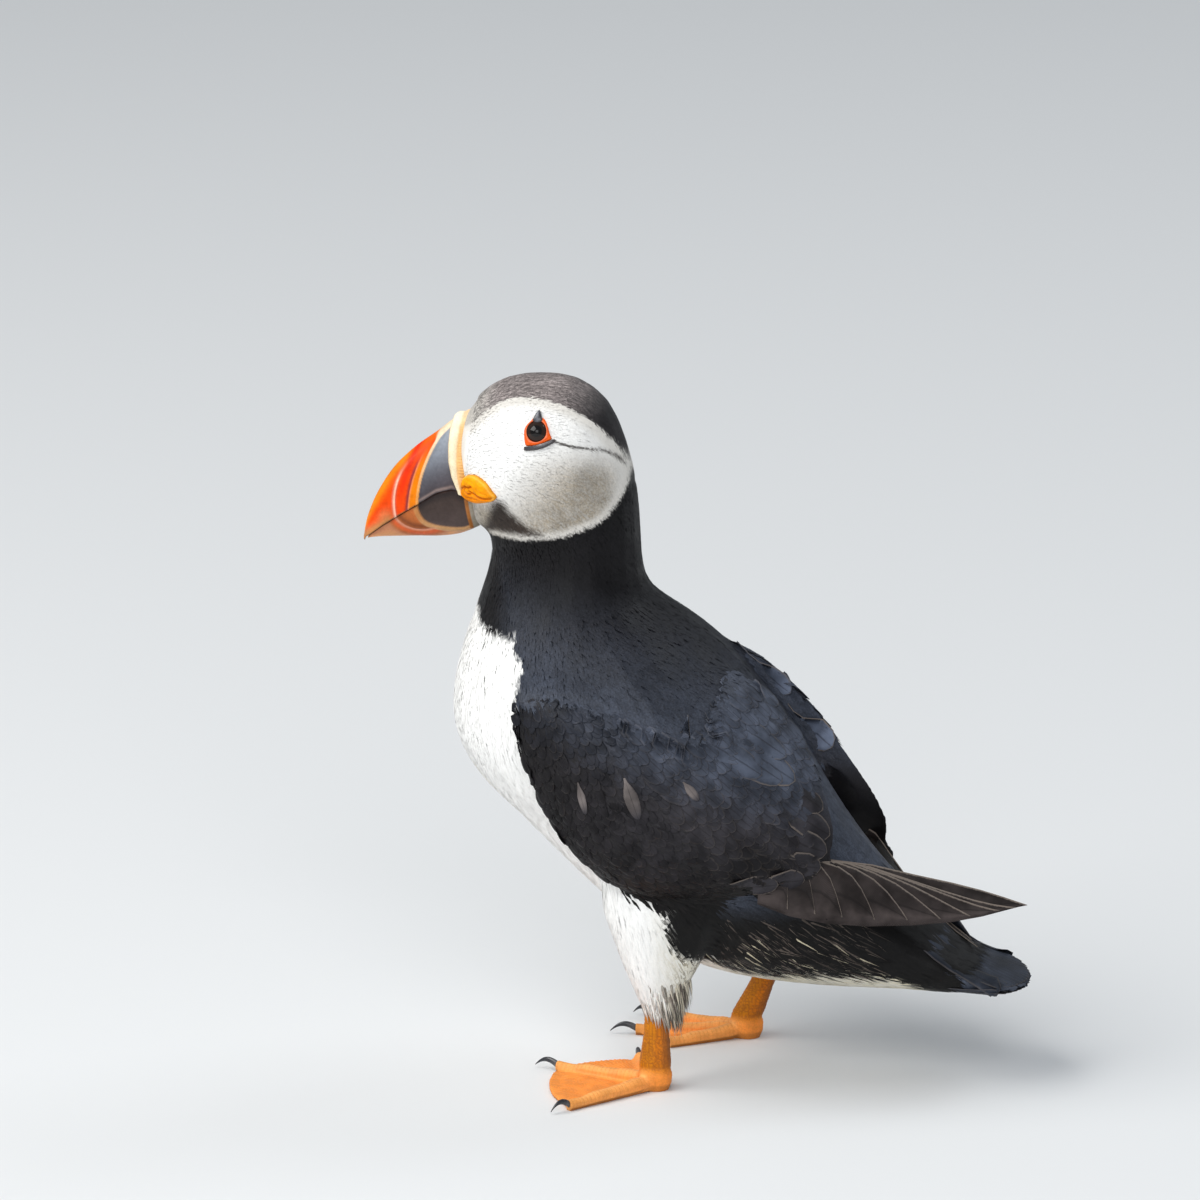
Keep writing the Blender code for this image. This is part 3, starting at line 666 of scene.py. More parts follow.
def connect(tree, shader, colour, roughness, height, strength, depth):
    """Links a colour, a roughness and a relief, whose depth is in mm, to the shader."""
    relief = add(tree, "ShaderNodeBump", {"Height": height, "Strength": strength, "Distance": depth * MM})
    tree.links.new(colour, shader.inputs["Base Color"])
    tree.links.new(roughness, shader.inputs["Roughness"])
    tree.links.new(relief.outputs["Normal"], shader.inputs["Normal"])


def new_group(name, inputs, outputs):
    """A node group with named sockets: those called Colour carry a colour, the others a number."""
    group = bpy.data.node_groups.new(name, "ShaderNodeTree")
    for way, labels in (("INPUT", inputs), ("OUTPUT", outputs)):
        for label in labels:
            kind = "NodeSocketColor" if label == "Colour" else "NodeSocketFloat"
            group.interface.new_socket(label, in_out=way, socket_type=kind)
    return group, group.nodes.new("NodeGroupInput").outputs, group.nodes.new("NodeGroupOutput").inputs


def place_group(group, name, values, strength, depth, **sockets):
    """A material with a group in it, given its own values and linked to the shader."""
    made, tree, shader = new_material(name, **sockets)
    values = {"Colour": stored(tree, "tint", "Color"), **values(tree)}
    seen = add(tree, "ShaderNodeGroup", values, node_tree=group).outputs
    connect(tree, shader, seen["Colour"], seen["Roughness"], seen["Height"], strength, depth)
    return made


# %% [markdown]
# ## Plumage finish
# Skin and tufts share one effect, so it is a node group, built once and placed in two materials: soft
# down, and the glossier plumage of back and wings. It adds a fine fleck, soft patches where the sun has
# bleached the feathers, and a paler worn tip. Pale feathers stay calm, as flecks would look like dirt.

# %% Plumage group
plumage, given, result = new_group("Plumage", ("Colour", "Chance", "Along", "Worn"), ("Colour", "Roughness", "Height"))
fleck, patch = noise(plumage, 1900.0), noise(plumage, 95.0)
level = product(plumage, ramp(plumage, fleck, 0.3, 0.7, 0.78, 1.18), ramp(plumage, patch, 0.3, 0.72, 0.80, 1.22),
                ramp(plumage, given["Chance"], 0.0, 1.0, 0.86, 1.14))
grey = add(plumage, "ShaderNodeRGBToBW", {"Color": given["Colour"]}).outputs[0]
calm = ramp(plumage, grey, 0.25, 0.80, 0.0, 0.88)
level = add(plumage, "ShaderNodeMix", {0: calm, 2: level, 3: 1.0}).outputs[0]
worn = product(plumage, ramp(plumage, given["Along"], 0.45, 1.0), given["Worn"])
tipped = mix_node(plumage, worn, scaled(plumage, given["Colour"], level), (0.23, 0.20, 0.18, 1))
plumage.links.new(tipped, result["Colour"])
plumage.links.new(ramp(plumage, patch, 0.3, 0.7, 0.44, 0.62), result["Roughness"])
plumage.links.new(fleck, result["Height"])


def plumage_material(name, worn, bump, **sockets):
    def values(tree):
        return {"Chance": stored(tree, "chance"), "Along": stored(tree, "along"), "Worn": worn}
    return place_group(plumage, name, values, bump, 0.2, Specular_IOR_Level=0.16, **sockets)


down_finish = plumage_material("plumage_down", 0.0, 0.06, Sheen_Weight=0.03, Sheen_Roughness=0.5)
glossy_finish = plumage_material("plumage_glossy", 0.03, 0.15, Sheen_Weight=0.02, Sheen_Roughness=0.4)

# %% [markdown]
# ## Finish the skin
# The skin is unwrapped once. That unwrap is the map on which every tuft of the coat finds its place.

# %% Skin finish
edit(skin, lambda: bpy.ops.uv.smart_project(angle_limit=math.radians(66), island_margin=0.002))
skin.data.uv_layers.active.name = "OFBake"
skin_out = normals(skin)
skin_part = part_of(skin_points)
even = np.full(len(skin_points), 0.5)
dress(skin, down_finish, "plumage_mixed", *FLESH, tint=markings(skin_points, skin_part, even), chance=even,
      along=even * 0)

# %% [markdown]
# ## The coat of tufts
# A tuft is a slim closed blade of ten triangles: a sunk root, a wider middle and a tip. Roots are thrown
# over the skin at random and thinned to one in each little cell, so they are even but never in rows.
# Middle and tip are laid back onto the skin, so long tufts follow its curve instead of sticking out.

# %% Tuft tools
skin_tree = BVHTree.FromPolygons(list(skin_points), [list(p.vertices) for p in skin.data.polygons])


def lay_on(tree, points, height):
    """Points moved to a height over the surface below them, and its outward direction there."""
    spots, outs = np.empty_like(points), np.empty_like(points)
    for k, point in enumerate(points):
        spots[k], outs[k] = tree.find_nearest(point)[:2]
    return spots + outs * np.reshape(height, (-1, 1)), outs


skin.data.calc_loop_triangles()
corner_ids = read(skin.data.loop_triangles, "vertices", 3, np.int32)
loop_ids = read(skin.data.loop_triangles, "loops", 3, np.int32)
triangle_count = len(corner_ids)
loop_uv = read(skin.data.uv_layers["OFBake"].data, "uv", 2)
corner_uv = loop_uv[loop_ids]
polygon_uv = loop_uv[[polygon.loop_start for polygon in skin.data.polygons]]
corners = skin_points[corner_ids]
areas = 0.5 * np.linalg.norm(np.cross(corners[:, 1] - corners[:, 0], corners[:, 2] - corners[:, 0]), axis=1)
triangle_part = skin_part[corner_ids[:, 0]]
middles = corners.mean(1)
rng = np.random.default_rng(20)


def scatter(allowed, spacing, tries=6):
    """Even random roots on the allowed triangles: place, outward direction, map place and part."""
    weight = np.where(allowed, areas, 0)
    count = int(weight.sum() / spacing**2 * tries)
    picked = rng.choice(triangle_count, count, p=weight / weight.sum())
    shares = rng.random((count, 2))
    folded = shares.sum(1) > 1
    shares[folded] = 1 - shares[folded]
    bary = np.column_stack([1 - shares.sum(1), shares])
    points = (corners[picked] * bary[:, :, None]).sum(1)
    _, kept = np.unique(np.floor(points / spacing).astype(int), axis=0, return_index=True)
    picked, bary, points = picked[kept], bary[kept], points[kept]
    out = unit((skin_out[corner_ids[picked]] * bary[:, :, None]).sum(1))
    where = (corner_uv[picked] * bary[:, :, None]).sum(1)
    return points, out, where, triangle_part[picked]


def root_places(roots):
    """The place on the skin's map under each root."""
    nearest = [skin_tree.find_nearest(root)[2] for root in roots]
    return polygon_uv[nearest][:, None, :]


# Corners of one tuft: left, right and ridge of the root ring, the same of the middle ring, and the tip.
TUFT_FACES = ((2, 1, 0), (0, 1, 4, 3), (1, 2, 5, 4), (2, 0, 3, 5), (3, 4, 6), (4, 5, 6), (5, 3, 6))
UNDER_FACES = (1, 4)  # these look down at the skin
MAP_REACH = 0.0015  # how far a small piece spreads over the map
TUFT_PATCH = MAP_REACH * np.array(((-1, -1), (1, -1), (0, -0.6), (-1, 0.4), (1, 0.4), (0, 0.2), (0, 1)))


def mesh_of_copies(name, points, faces, map_places, soft=None):
    """One mesh of many like pieces: points is (count, corners, 3) in bird coordinates."""
    count, corner_count = points.shape[:2]
    pattern = np.concatenate([np.array(face) for face in faces])
    sizes = np.array([len(face) for face in faces])
    starts = np.concatenate([[0], np.cumsum(sizes)[:-1]])
    mesh = bpy.data.meshes.new(name)
    mesh.vertices.add(count * corner_count)
    mesh.vertices.foreach_set("co", to_world(points.reshape(-1, 3)).astype(np.float32).ravel())
    mesh.loops.add(count * len(pattern))
    order = (np.arange(count)[:, None] * corner_count + pattern).ravel()
    mesh.loops.foreach_set("vertex_index", order.astype(np.int32))
    mesh.polygons.add(count * len(faces))
    loop_starts = (np.arange(count)[:, None] * len(pattern) + starts).ravel()
    mesh.polygons.foreach_set("loop_start", loop_starts.astype(np.int32))
    mesh.update(calc_edges=True)
    mesh.validate()
    mesh.shade_smooth()
    layer = mesh.uv_layers.new(name="OFBake")
    layer.data.foreach_set("uv", map_places.reshape(-1, 2)[order].astype(np.float32).ravel())
    if soft is not None:
        turned = np.where(np.isin(np.repeat(np.arange(len(faces)), sizes), UNDER_FACES), -1, 1)[:, None]
        mesh.normals_split_custom_set((soft[:, pattern] * turned).reshape(-1, 3).tolist())
    return new_object(name, mesh)


def plant(name, roots, slot, material, length=1.0, width=1.0, rise=1.0, tousle=6.0, plain=0.5, colour=None):
    """Grows a tuft at every root, combed along the body; plain tufts take their light like the skin below."""
    points, out, where, part = roots
    count = len(points)
    way, long, wide = comb(points, out)
    eye_room = np.hypot(points[:, 1] - EYE[0], points[:, 2] - EYE[1])
    long = long * length * rng.uniform(0.75, 1.2, count) * (0.45 + 0.55 * smooth(3.5, 7.5, eye_room))
    long *= 1 - 0.5 * bell(inside(FACE, points), 3.0) * (part <= NECK) * (points[:, 2] < 174)
    wide = wide * width * rng.uniform(0.8, 1.25, count)
    swing = np.radians(rng.normal(0, tousle, count))[:, None]
    way = unit(way * np.cos(swing) + np.cross(out, way) * np.sin(swing))
    chance = rng.random(count)
    top = rise * np.array([COAT_DEPTH[kind] for kind in part]) * (0.8 + 0.2 * rng.random(count))
    middle, middle_out = lay_on(skin_tree, points + way * (long * 0.5)[:, None], top * (0.62 + 0.22 * plain))
    tip, tip_out = lay_on(skin_tree, points + way * long[:, None], top)
    straight = ((out * middle_out).sum(1) > 0.8) & ((out * tip_out).sum(1) > 0.55)
    kept = (points, out, where, part, wide, chance, middle, middle_out, tip, tip_out)
    points, out, where, part, wide, chance, middle, middle_out, tip, tip_out = (
        values[straight] for values in kept)
    count = len(points)
    root = points - out * 0.12
    ahead = unit(tip - root)
    rings = []
    for centre, share, normal in ((root, 0.55, out), (middle, 1.0, middle_out)):
        across = unit(np.cross(normal, ahead))
        half = (wide * share / 2)[:, None]
        ridge = centre + normal * half * (0.35 - 0.25 * plain)
        rings += [centre - across * half, centre + across * half, ridge]
    shape = np.stack(rings + [tip], axis=1)
    side = unit(np.cross(out, ahead)) * 0.4 * (1 - plain)
    soft = [unit(out - side), unit(out + side), out,
            unit(middle_out - side), unit(middle_out + side), middle_out,
            unit(tip_out + ahead * 0.2 * (1 - plain))]
    piece = mesh_of_copies(name, shape, TUFT_FACES, where[:, None, :] + TUFT_PATCH, np.stack(soft, axis=1))
    tint = [(colour or markings)(spots, part, chance) for spots in (points, middle, tip)]
    tint = np.stack([tint[0]] * 3 + [tint[1]] * 3 + [tint[2]], axis=1).reshape(-1, 3)
    dress(piece, material, slot, tint=tint, chance=np.repeat(chance, 7),
          along=np.tile((0.0, 0.0, 0.0, 0.5, 0.5, 0.5, 1.0), count))


# %% [markdown]
# ## Grow the coat
# Every region of the skin gets its own density, length and finish. The skin stays bare round the eye
# and under the root of the bill. Wings keep no tufts where their large feathers lie.

# %% Coat
EYE = (-44.0, 189.3)  # y, z
EYE_BARE = (  # border of the bare skin, as steps back and up from the eye
    (-3.3, -0.3), (-3.1, 0.9), (-2.6, 1.8), (-1.2, 3.0), (-0.7, 4.0), (0.0, 4.8), (0.6, 4.8), (1.2, 3.8),
    (2.1, 2.6), (2.9, 1.2), (3.5, -0.4), (4.1, -1.9), (3.2, -3.0), (0.2, -4.5), (-2.7, -4.7), (-3.1, -2.0),
)
BILL_ROOT = ((163, 166, 175, 185, 192), (-80, -66.6, -66.0, -64.9, -63.8))  # z, and y of the foremost tufts
mid_x, mid_y, mid_z = middles.T


def coat(name, where, spacing, look, finish, **settings):
    plant("coat_" + name, scatter(where, spacing), "plumage_" + look, finish, **settings)


feathered = inside(tuple((EYE[0] + back, EYE[1] + up) for back, up in EYE_BARE), middles) < 0.1
feathered &= mid_y > np.interp(mid_z, *BILL_ROOT)
feathered &= triangle_part == HEAD
front_half = mid_y < -44
for word, half in (("front", front_half), ("rear", ~front_half)):
    coat("head_" + word, feathered & half, 0.52, "white", down_finish, length=1.15, rise=0.62, tousle=4.5,
         plain=1.0)
coat("neck", triangle_part == NECK, 0.64, "black", down_finish, rise=0.7, tousle=4.5, plain=1.0)
on_trunk = triangle_part == TRUNK
in_front = on_trunk & (mid_y + 0.9 * (mid_z - 100) < -26)
front_or_belly = in_front | (on_trunk & (mid_z < 62))
breast = in_front & (mid_z > 82)
for word, where in (("breast", breast), ("belly", front_or_belly & ~breast)):
    coat(word, where, 0.84, "white", down_finish, length=1.3, width=1.05, rise=0.95, tousle=5, plain=1.0)
coat("back", on_trunk & ~front_or_belly, 1.05, "black", glossy_finish, width=1.35, rise=0.75, plain=1.0)
for side, word in SIDES.items():
    here = (triangle_part == WING) & (mid_x * side > 0)
    here &= (mid_y < 33) & ((mid_y < 20) | (mid_z > 68))
    coat("wing_" + word, here, 1.25, "black", glossy_finish, width=1.4, rise=0.85, plain=0.7)
coat("thighs", triangle_part == THIGH, 0.82, "white", down_finish, length=1.5, width=0.9, tousle=4, plain=0.9)
coat("tail", triangle_part == TAIL, 1.1, "black", glossy_finish, plain=0.7)

# %% [markdown]
# ## Large feathers
# Flight feathers, tail feathers and scapulars are single vanes: thin, slightly cupped blades with a
# shaft and fine barbs, most of them edged with a worn pale fringe. Each is a closed grid of its own. It
# is bent to a line laid over the body, and distances to its edge and tip are stored so that the finish
# can draw the fringe, the shaft and the barbs without a map.

# %% Vane finish
FRINGE_BROWN, SHAFT_BLACK = (0.20, 0.165, 0.14, 1), (0.012, 0.010, 0.010, 1)
BARB_STEP = 0.42  # mm from one barb to the next
vane_finish, tree, shader = new_material("vane", Sheen_Weight=0.01, Sheen_Roughness=0.4,
                                         Specular_IOR_Level=0.10)
fray, bleach = noise(tree, 1500.0, 2.0), noise(tree, 130.0)
rim = math_node(tree, "MINIMUM", stored(tree, "edge"), stored(tree, "end"))
rim = math_node(tree, "SUBTRACT", rim, ramp(tree, fray, 0.35, 0.65, -0.07, 0.07))
fringe = product(tree, math_node(tree, "SUBTRACT", 1.0, ramp(tree, rim, 0.22, 0.60)), stored(tree, "fringe"))
barb_wave = math_node(tree, "SINE", product(tree, stored(tree, "barb"), math.tau / BARB_STEP))
tone = product(tree, ramp(tree, barb_wave, -1.0, 1.0, 0.86, 1.14), ramp(tree, bleach, 0.3, 0.7, 0.55, 1.50))
fringed = mix_node(tree, fringe, scaled(tree, stored(tree, "tint", "Color"), tone), FRINGE_BROWN)
off_shaft = math_node(tree, "ABSOLUTE", stored(tree, "across"))
shaft = math_node(tree, "SUBTRACT", 1.0, ramp(tree, off_shaft, 0.03, 0.09))
shafted = mix_node(tree, product(tree, shaft, 0.45), fringed, SHAFT_BLACK)
height = math_node(tree, "ADD", product(tree, barb_wave, 0.35), shaft)
connect(tree, shader, shafted, ramp(tree, bleach, 0.3, 0.7, 0.36, 0.52), height, 0.35, 0.12)

# %% [markdown]
# ## Tools for vanes
# A vane is a grid of ten rows and five columns on top, the same below, and a rim between them. Its
# middle line, its width and its outward direction are given row by row.

# %% Vane tools
VANE_ROWS = np.array((0.0, 0.12, 0.26, 0.42, 0.58, 0.72, 0.83, 0.91, 0.965, 1.0))
VANE_COLUMNS = np.array((-1.0, -0.55, 0.0, 0.55, 1.0))
VANE_THICK = 0.16
rows, columns = len(VANE_ROWS), len(VANE_COLUMNS)
VANE_FACES = []
for i in range(rows - 1):
    for j in range(columns - 1):
        top = (i * columns + j, i * columns + j + 1, (i + 1) * columns + j + 1, (i + 1) * columns + j)
        VANE_FACES.append(top)
        VANE_FACES.append(tuple(rows * columns + k for k in reversed(top)))
rim_loop = [j for j in range(columns)] + [i * columns + columns - 1 for i in range(1, rows)]
rim_loop += [(rows - 1) * columns + j for j in range(columns - 2, -1, -1)]
rim_loop += [i * columns for i in range(rows - 2, 0, -1)]
for here, after in zip(rim_loop, rim_loop[1:] + rim_loop[:1]):
    VANE_FACES.append((after, here, rows * columns + here, rows * columns + after))


def blade_profile(tip_round, base):
    """Half widths of a rounded vane along its length, as shares of the widest."""
    wide = base + (1 - base) * smooth(0, 0.45, VANE_ROWS)
    close = np.clip((VANE_ROWS - 1 + tip_round) / tip_round, 0, 1)
    return np.maximum(wide * np.sqrt(1 - close**2), 0.03)


def make_vanes(name, spine, across, out, half, tint, fringe, slot, edge_room=1 - np.abs(VANE_COLUMNS),
               camber=0.10):
    """Vanes from their middle lines: spine, across and out are (count, rows, 3), half is (count, rows).
    The edges curl down by the camber, a share of the half width."""
    count = len(spine)
    offset = half[:, :, None] * VANE_COLUMNS
    sag = -camber * half[:, :, None] * VANE_COLUMNS**2
    top = spine[:, :, None] + across[:, :, None] * offset[..., None] + out[:, :, None] * sag[..., None]
    below = top - out[:, :, None] * VANE_THICK
    shape = np.concatenate([top.reshape(count, -1, 3), below.reshape(count, -1, 3)], axis=1)
    patch = np.stack(np.broadcast_arrays(VANE_COLUMNS, 2 * VANE_ROWS[:, None] - 1), axis=-1)
    patch = patch.reshape(1, -1, 2) * MAP_REACH
    map_places = root_places(spine[:, 0]) + np.concatenate([patch, patch], axis=1)
    piece = mesh_of_copies(name, shape, VANE_FACES, map_places)
    length = np.linalg.norm(np.diff(spine, axis=1), axis=2).sum(1)[:, None, None]
    away = VANE_ROWS[:, None]

    def doubled(values, size=1):
        """The same values for the corners on top and below."""
        values = values if size > 1 else np.asarray(values)[..., None]
        flat = np.broadcast_to(values, (count, rows, columns, size)).reshape(count, -1, size)
        return np.squeeze(np.concatenate([flat, flat], axis=1).reshape(-1, size))

    barb = length * away - np.abs(offset) * 0.8
    dress(piece, vane_finish, slot, tint=doubled(tint, 3), edge=doubled(edge_room * half[:, :, None]),
          end=doubled(length * (1 - away)), barb=doubled(barb), across=doubled(VANE_COLUMNS),
          fringe=doubled(np.reshape(fringe, (-1, 1, 1))))


def laid_vanes(name, tips, ways, lengths, halves, tint, fringe, slot, low=-0.9, high=0.1, tip_round=0.3,
               base=0.6):
    """Vanes that lie over the body and end at the given tips, each coming from its way."""
    tips, ways = np.array(tips, float), unit(np.array(ways, float))
    lengths, halves = np.broadcast_to(lengths, len(tips)), np.broadcast_to(halves, len(tips))
    back = (VANE_ROWS - 1)[None, :, None] * lengths[:, None, None]
    line = tips[:, None] + ways[:, None] * back
    heights = np.broadcast_to(low + (high - low) * VANE_ROWS**0.6, line.shape[:2])
    spine, out = lay_on(flesh_tree, line.reshape(-1, 3), heights.reshape(-1))
    spine, out = spine.reshape(line.shape), out.reshape(line.shape)
    ahead = unit(np.gradient(spine, axis=1))
    for _ in range(2):
        out[:, 1:-1] = unit(out[:, :-2] + 2 * out[:, 1:-1] + out[:, 2:])
    across = unit(np.cross(out, ahead))
    half = halves[:, None] * blade_profile(tip_round, base)[None]
    make_vanes(name, spine, across, out, half, tint, fringe, slot)


# %% [markdown]
# ## Primaries
# The long flight feathers of a folded wing lie in a stack like closed fan blades. All share one lower
# edge. The longest lies innermost and shows its upper edge, and each shorter one covers it from outside,
# its rounded tip one step nearer the body.

# %% Primaries
# y, x, z, half height and twist of each wing's stack; then the tips' y from the longest down
STACKS = {
    LEFT: ((20.0, 36.0, 63.0, 4.0, -8), (31.0, 34.6, 62.6, 7.6, -10), (42.0, 32.0, 62.0, 9.2, -14),
           (53.7, 27.0, 59.8, 8.6, -18), (66.6, 22.2, 57.6, 6.8, -22), (78.0, 18.2, 56.5, 5.0, -26),
           (88.6, 15.6, 56.5, 2.8, -28), (95.2, 14.2, 56.2, 0.9, -30)),
    RIGHT: ((20.0, -35.0, 62.0, 4.0, 8), (34.0, -35.4, 60.0, 7.0, 10), (46.0, -33.4, 55.4, 7.4, 20),
            (56.0, -26.6, 49.6, 6.6, 34), (65.6, -16.6, 44.6, 5.0, 50), (74.0, -6.0, 41.0, 3.2, 60),
            (79.6, 1.6, 39.2, 0.9, 66)),
}
TIPS = {
    LEFT: (94.9, 91.8, 87.0, 79.0, 71.0, 62.3, 53.4, 44.7, 37.0, 29.5),
    RIGHT: (79.3, 76.2, 71.5, 66.0, 60.0, 54.0, 48.0, 42.0),
}
PRIMARY_BROWN = np.array((0.027, 0.0215, 0.0205))
for side, word in SIDES.items():
    spines, acrosses, outs, halves = [], [], [], []
    for number, tip in enumerate(TIPS[side]):
        root = 21.0 + 1.2 * number * (number < 7)
        reach = root + (min(tip, 95.0) - root) * VANE_ROWS
        station = through(STACKS[side], reach)
        ahead = unit((through(STACKS[side], reach + 0.5) - through(STACKS[side], reach - 0.5))[:, [1, 0, 2]])
        level = unit(np.cross(ahead, (0, 0, 1)))
        up = unit(np.cross(level, ahead))
        twist = np.radians(station[:, 4:5])
        wide = up * np.cos(twist) + level * np.sin(twist)
        out = side * (level * np.cos(twist) - up * np.sin(twist))
        fall = np.clip((reach - 33) / max(tip - 33, 4), 0, 1)
        upper = 1 - (0.0 if number == 0 else 1.25) * fall**2.4
        lower = np.full(rows, -1 + 0.02 * number)
        rounding = np.sqrt(1 - np.clip((VANE_ROWS - 0.72) / 0.28, 0, 1) ** 2)
        upper = lower + (upper - lower) * rounding
        lower = lower + 0.22 * (1 - rounding)
        half = np.maximum(upper - lower, 0) / 2 * station[:, 3]
        middle = (upper + lower) / 2 * station[:, 3]
        layer = -0.95 + 0.235 * number
        spines.append(station[:, [1, 0, 2]] + wide * middle[:, None] + out * layer)
        acrosses.append(-side * wide)
        outs.append(out)
        halves.append(np.maximum(half, 0.05))
    count = len(spines)
    # Painted light: the lower band of each primary, its outer web, is made 1.8 times lighter where it catches the
    # light.
    shade = np.where(VANE_COLUMNS[None, None, :, None] * side > 0.2, 1.8, 1.0)
    tint = PRIMARY_BROWN * shade * np.linspace(1.0, 1.15, count)[:, None, None, None]
    make_vanes("primaries_" + word, np.array(spines), np.array(acrosses), np.array(outs), np.array(halves),
               tint, np.full(count, 0.95), "plumage_black", edge_room=1 + side * VANE_COLUMNS, camber=0.01)

# %% [markdown]
# ## Tertials and scapulars
# Over the roots of the flight feathers lie rounded tertials. The scapulars form one long dark tongue
# on each side of the back. On the far side they reach almost to the middle of the rump.

# %% Tertials and scapulars
TERTIALS = (  # tip, way, length, half width
    ((38.0, 27.0, 65.3), (0.0, 1.0, -0.10), 26, 4.2),
    ((34.7, 34.1, 65.9), (-0.1, 1.0, -0.14), 28, 4.4),
    ((32.6, 38.4, 69.0), (-0.2, 1.0, -0.22), 28, 4.4),
    ((31.2, 39.9, 73.3), (-0.2, 1.0, -0.32), 28, 4.4),
    ((29.2, 40.5, 77.7), (-0.2, 0.9, -0.45), 28, 4.4),
    ((26.9, 38.2, 84.3), (-0.2, 0.8, -0.60), 28, 4.6),
)
SCAPULARS = (
    ((34.5, 22.0, 96.0), (-0.15, 0.8, -0.55), 30, 4.6),
    ((31.5, 27.5, 93.6), (-0.2, 0.8, -0.55), 34, 5.0),
    ((25.0, 27.0, 98.5), (-0.2, 0.75, -0.6), 34, 4.6),
    ((28.4, 30.4, 92.8), (-0.25, 0.75, -0.6), 36, 5.4),
)
FAR_SCAPULARS = (
    ((13.4, 24.0, 107.0), (0.0, 0.75, -0.65), 28, 4.0),
    ((20.5, 34.0, 91.5), (-0.1, 0.75, -0.65), 34, 5.0),
    ((16.8, 35.5, 90.3), (-0.05, 0.75, -0.65), 36, 5.4),
)
WING_DARK = np.array(PALETTE["wing"]) * 1.1
BACK_DARK = np.array(PALETTE["back"]) * 0.8


def on_side(side, table):
    """The feathers of a table, on this side of the bird, as columns."""
    flip = np.array((side, 1, 1))
    tips, ways, lengths, halves = zip(*table)
    return np.array(tips) * flip, np.array(ways) * flip, np.array(lengths, float), np.array(halves)


for side, word in SIDES.items():
    laid_vanes("tertials_" + word, *on_side(side, TERTIALS), WING_DARK, 0.55, "plumage_black")
    table = SCAPULARS if side == LEFT else FAR_SCAPULARS
    glow = 1 + 1.6 * VANE_ROWS**3 * (side == RIGHT)  # the far tongue catches the light at its end
    laid_vanes("scapulars_" + word, *on_side(side, table), BACK_DARK * 1.5 * glow[:, None, None],
               (0.25, 0.5, 0.35, 0.85)[-len(table):], "plumage_black", low=-1.3, high=0.35)

# %% [markdown]
# ## Coverts
# The upper side of a folded wing is shingled with small rounded vanes, finest along its front edge. They
# start at random roots over the tufts' own skin and tilt upwards, so each covers the roots behind it.

# %% Coverts
COVERT_AREA = (  # where the tips of the coverts may lie, y and z
    (-60, 130), (30, 130), (35, 92), (37, 84), (38, 78), (37.5, 73), (36, 69.5), (32, 66.9), (25, 65.8),
    (14, 63), (0, 59), (-14, 56), (-30, 60), (-60, 90),
)
COVERTS = {  # spacing, length, half width, fringe and height of the tips
    "lesser": (2.5, 7.0, 1.7, 0.0, -0.06),
    "greater": (3.1, 10.5, 2.5, 0.08, 0.02),
}
wing_front = smooth(30, -30, mid_y + 0.6 * (mid_z - 80)) > 0.5


def covert_tint(points, chance):
    """The wing's own marking, a little paler on some of the feathers."""
    own = markings(points, np.full(len(points), WING), chance)
    return own * (0.85 + 0.5 * chance)[:, None]


for side, word in SIDES.items():
    on_wing = (triangle_part == WING) & (mid_x * side > 0) & (skin_out[corner_ids[:, 0], 0] * side > 0.25)
    for size, where in (("lesser", wing_front), ("greater", ~wing_front)):
        spacing, length, half, fringe, high = COVERTS[size]
        points, out = scatter(on_wing & where, spacing, tries=8)[:2]
        way = comb(points, out)[0]
        kept = inside(COVERT_AREA, points + way * length) > 0
        kept &= (lay_on(flesh_tree, points + way * length, 0.0)[1] * out).sum(1) > 0.55
        points, way = points[kept], way[kept]
        chance = rng.random(len(points))
        long = length * rng.uniform(0.85, 1.15, len(points))
        wide = half * rng.uniform(0.85, 1.15, len(points))
        tint = covert_tint(points, chance)[:, None, None, :]
        laid_vanes(f"coverts_{size}_{word}", points + way * long[:, None], way, long, wide, tint,
                   fringe + 0.10 * chance**4, "plumage_black", low=-1.0, high=high, tip_round=0.42)

# %% [markdown]
# ## Loose plumes
# A cuff of slim plumes hangs round the top of each shank, and loose black plumes lie over the flanks.
# Three pale feathers are out of place on the near wing.

# %% Loose plumes
DROOP = 0.5  # how far the tips of the plumes hang
CUFF_TOP = {LEFT: (25.6, -8.6, 0.0), RIGHT: (-25.6, 16.6, 0.0)}  # where the shanks leave the thighs
CUFF_COUNT = 1500


def hairs(name, roots, ways, outs, lengths, halves, tint, slot):
    """Slim tufts that leave the body, drooping towards their tips."""
    ahead, across = unit(ways), unit(np.cross(outs, ways))
    rings = []
    for share, wide in ((0.0, 0.7), (0.5, 1.0)):
        centre = roots + ahead * (lengths * share)[:, None] - outs * (DROOP * share**2)
        half = (halves * wide)[:, None]
        rings += [centre - across * half, centre + across * half, centre + outs * half * 0.5]
    tip = roots + ahead * lengths[:, None] - outs * DROOP
    piece = mesh_of_copies(name, np.stack(rings + [tip], axis=1), TUFT_FACES, root_places(roots) + TUFT_PATCH)
    corner_count = len(roots) * 7
    dress(piece, down_finish, slot, tint=np.repeat(tint, 7, axis=0), chance=np.full(corner_count, 0.5),
          along=np.zeros(corner_count))


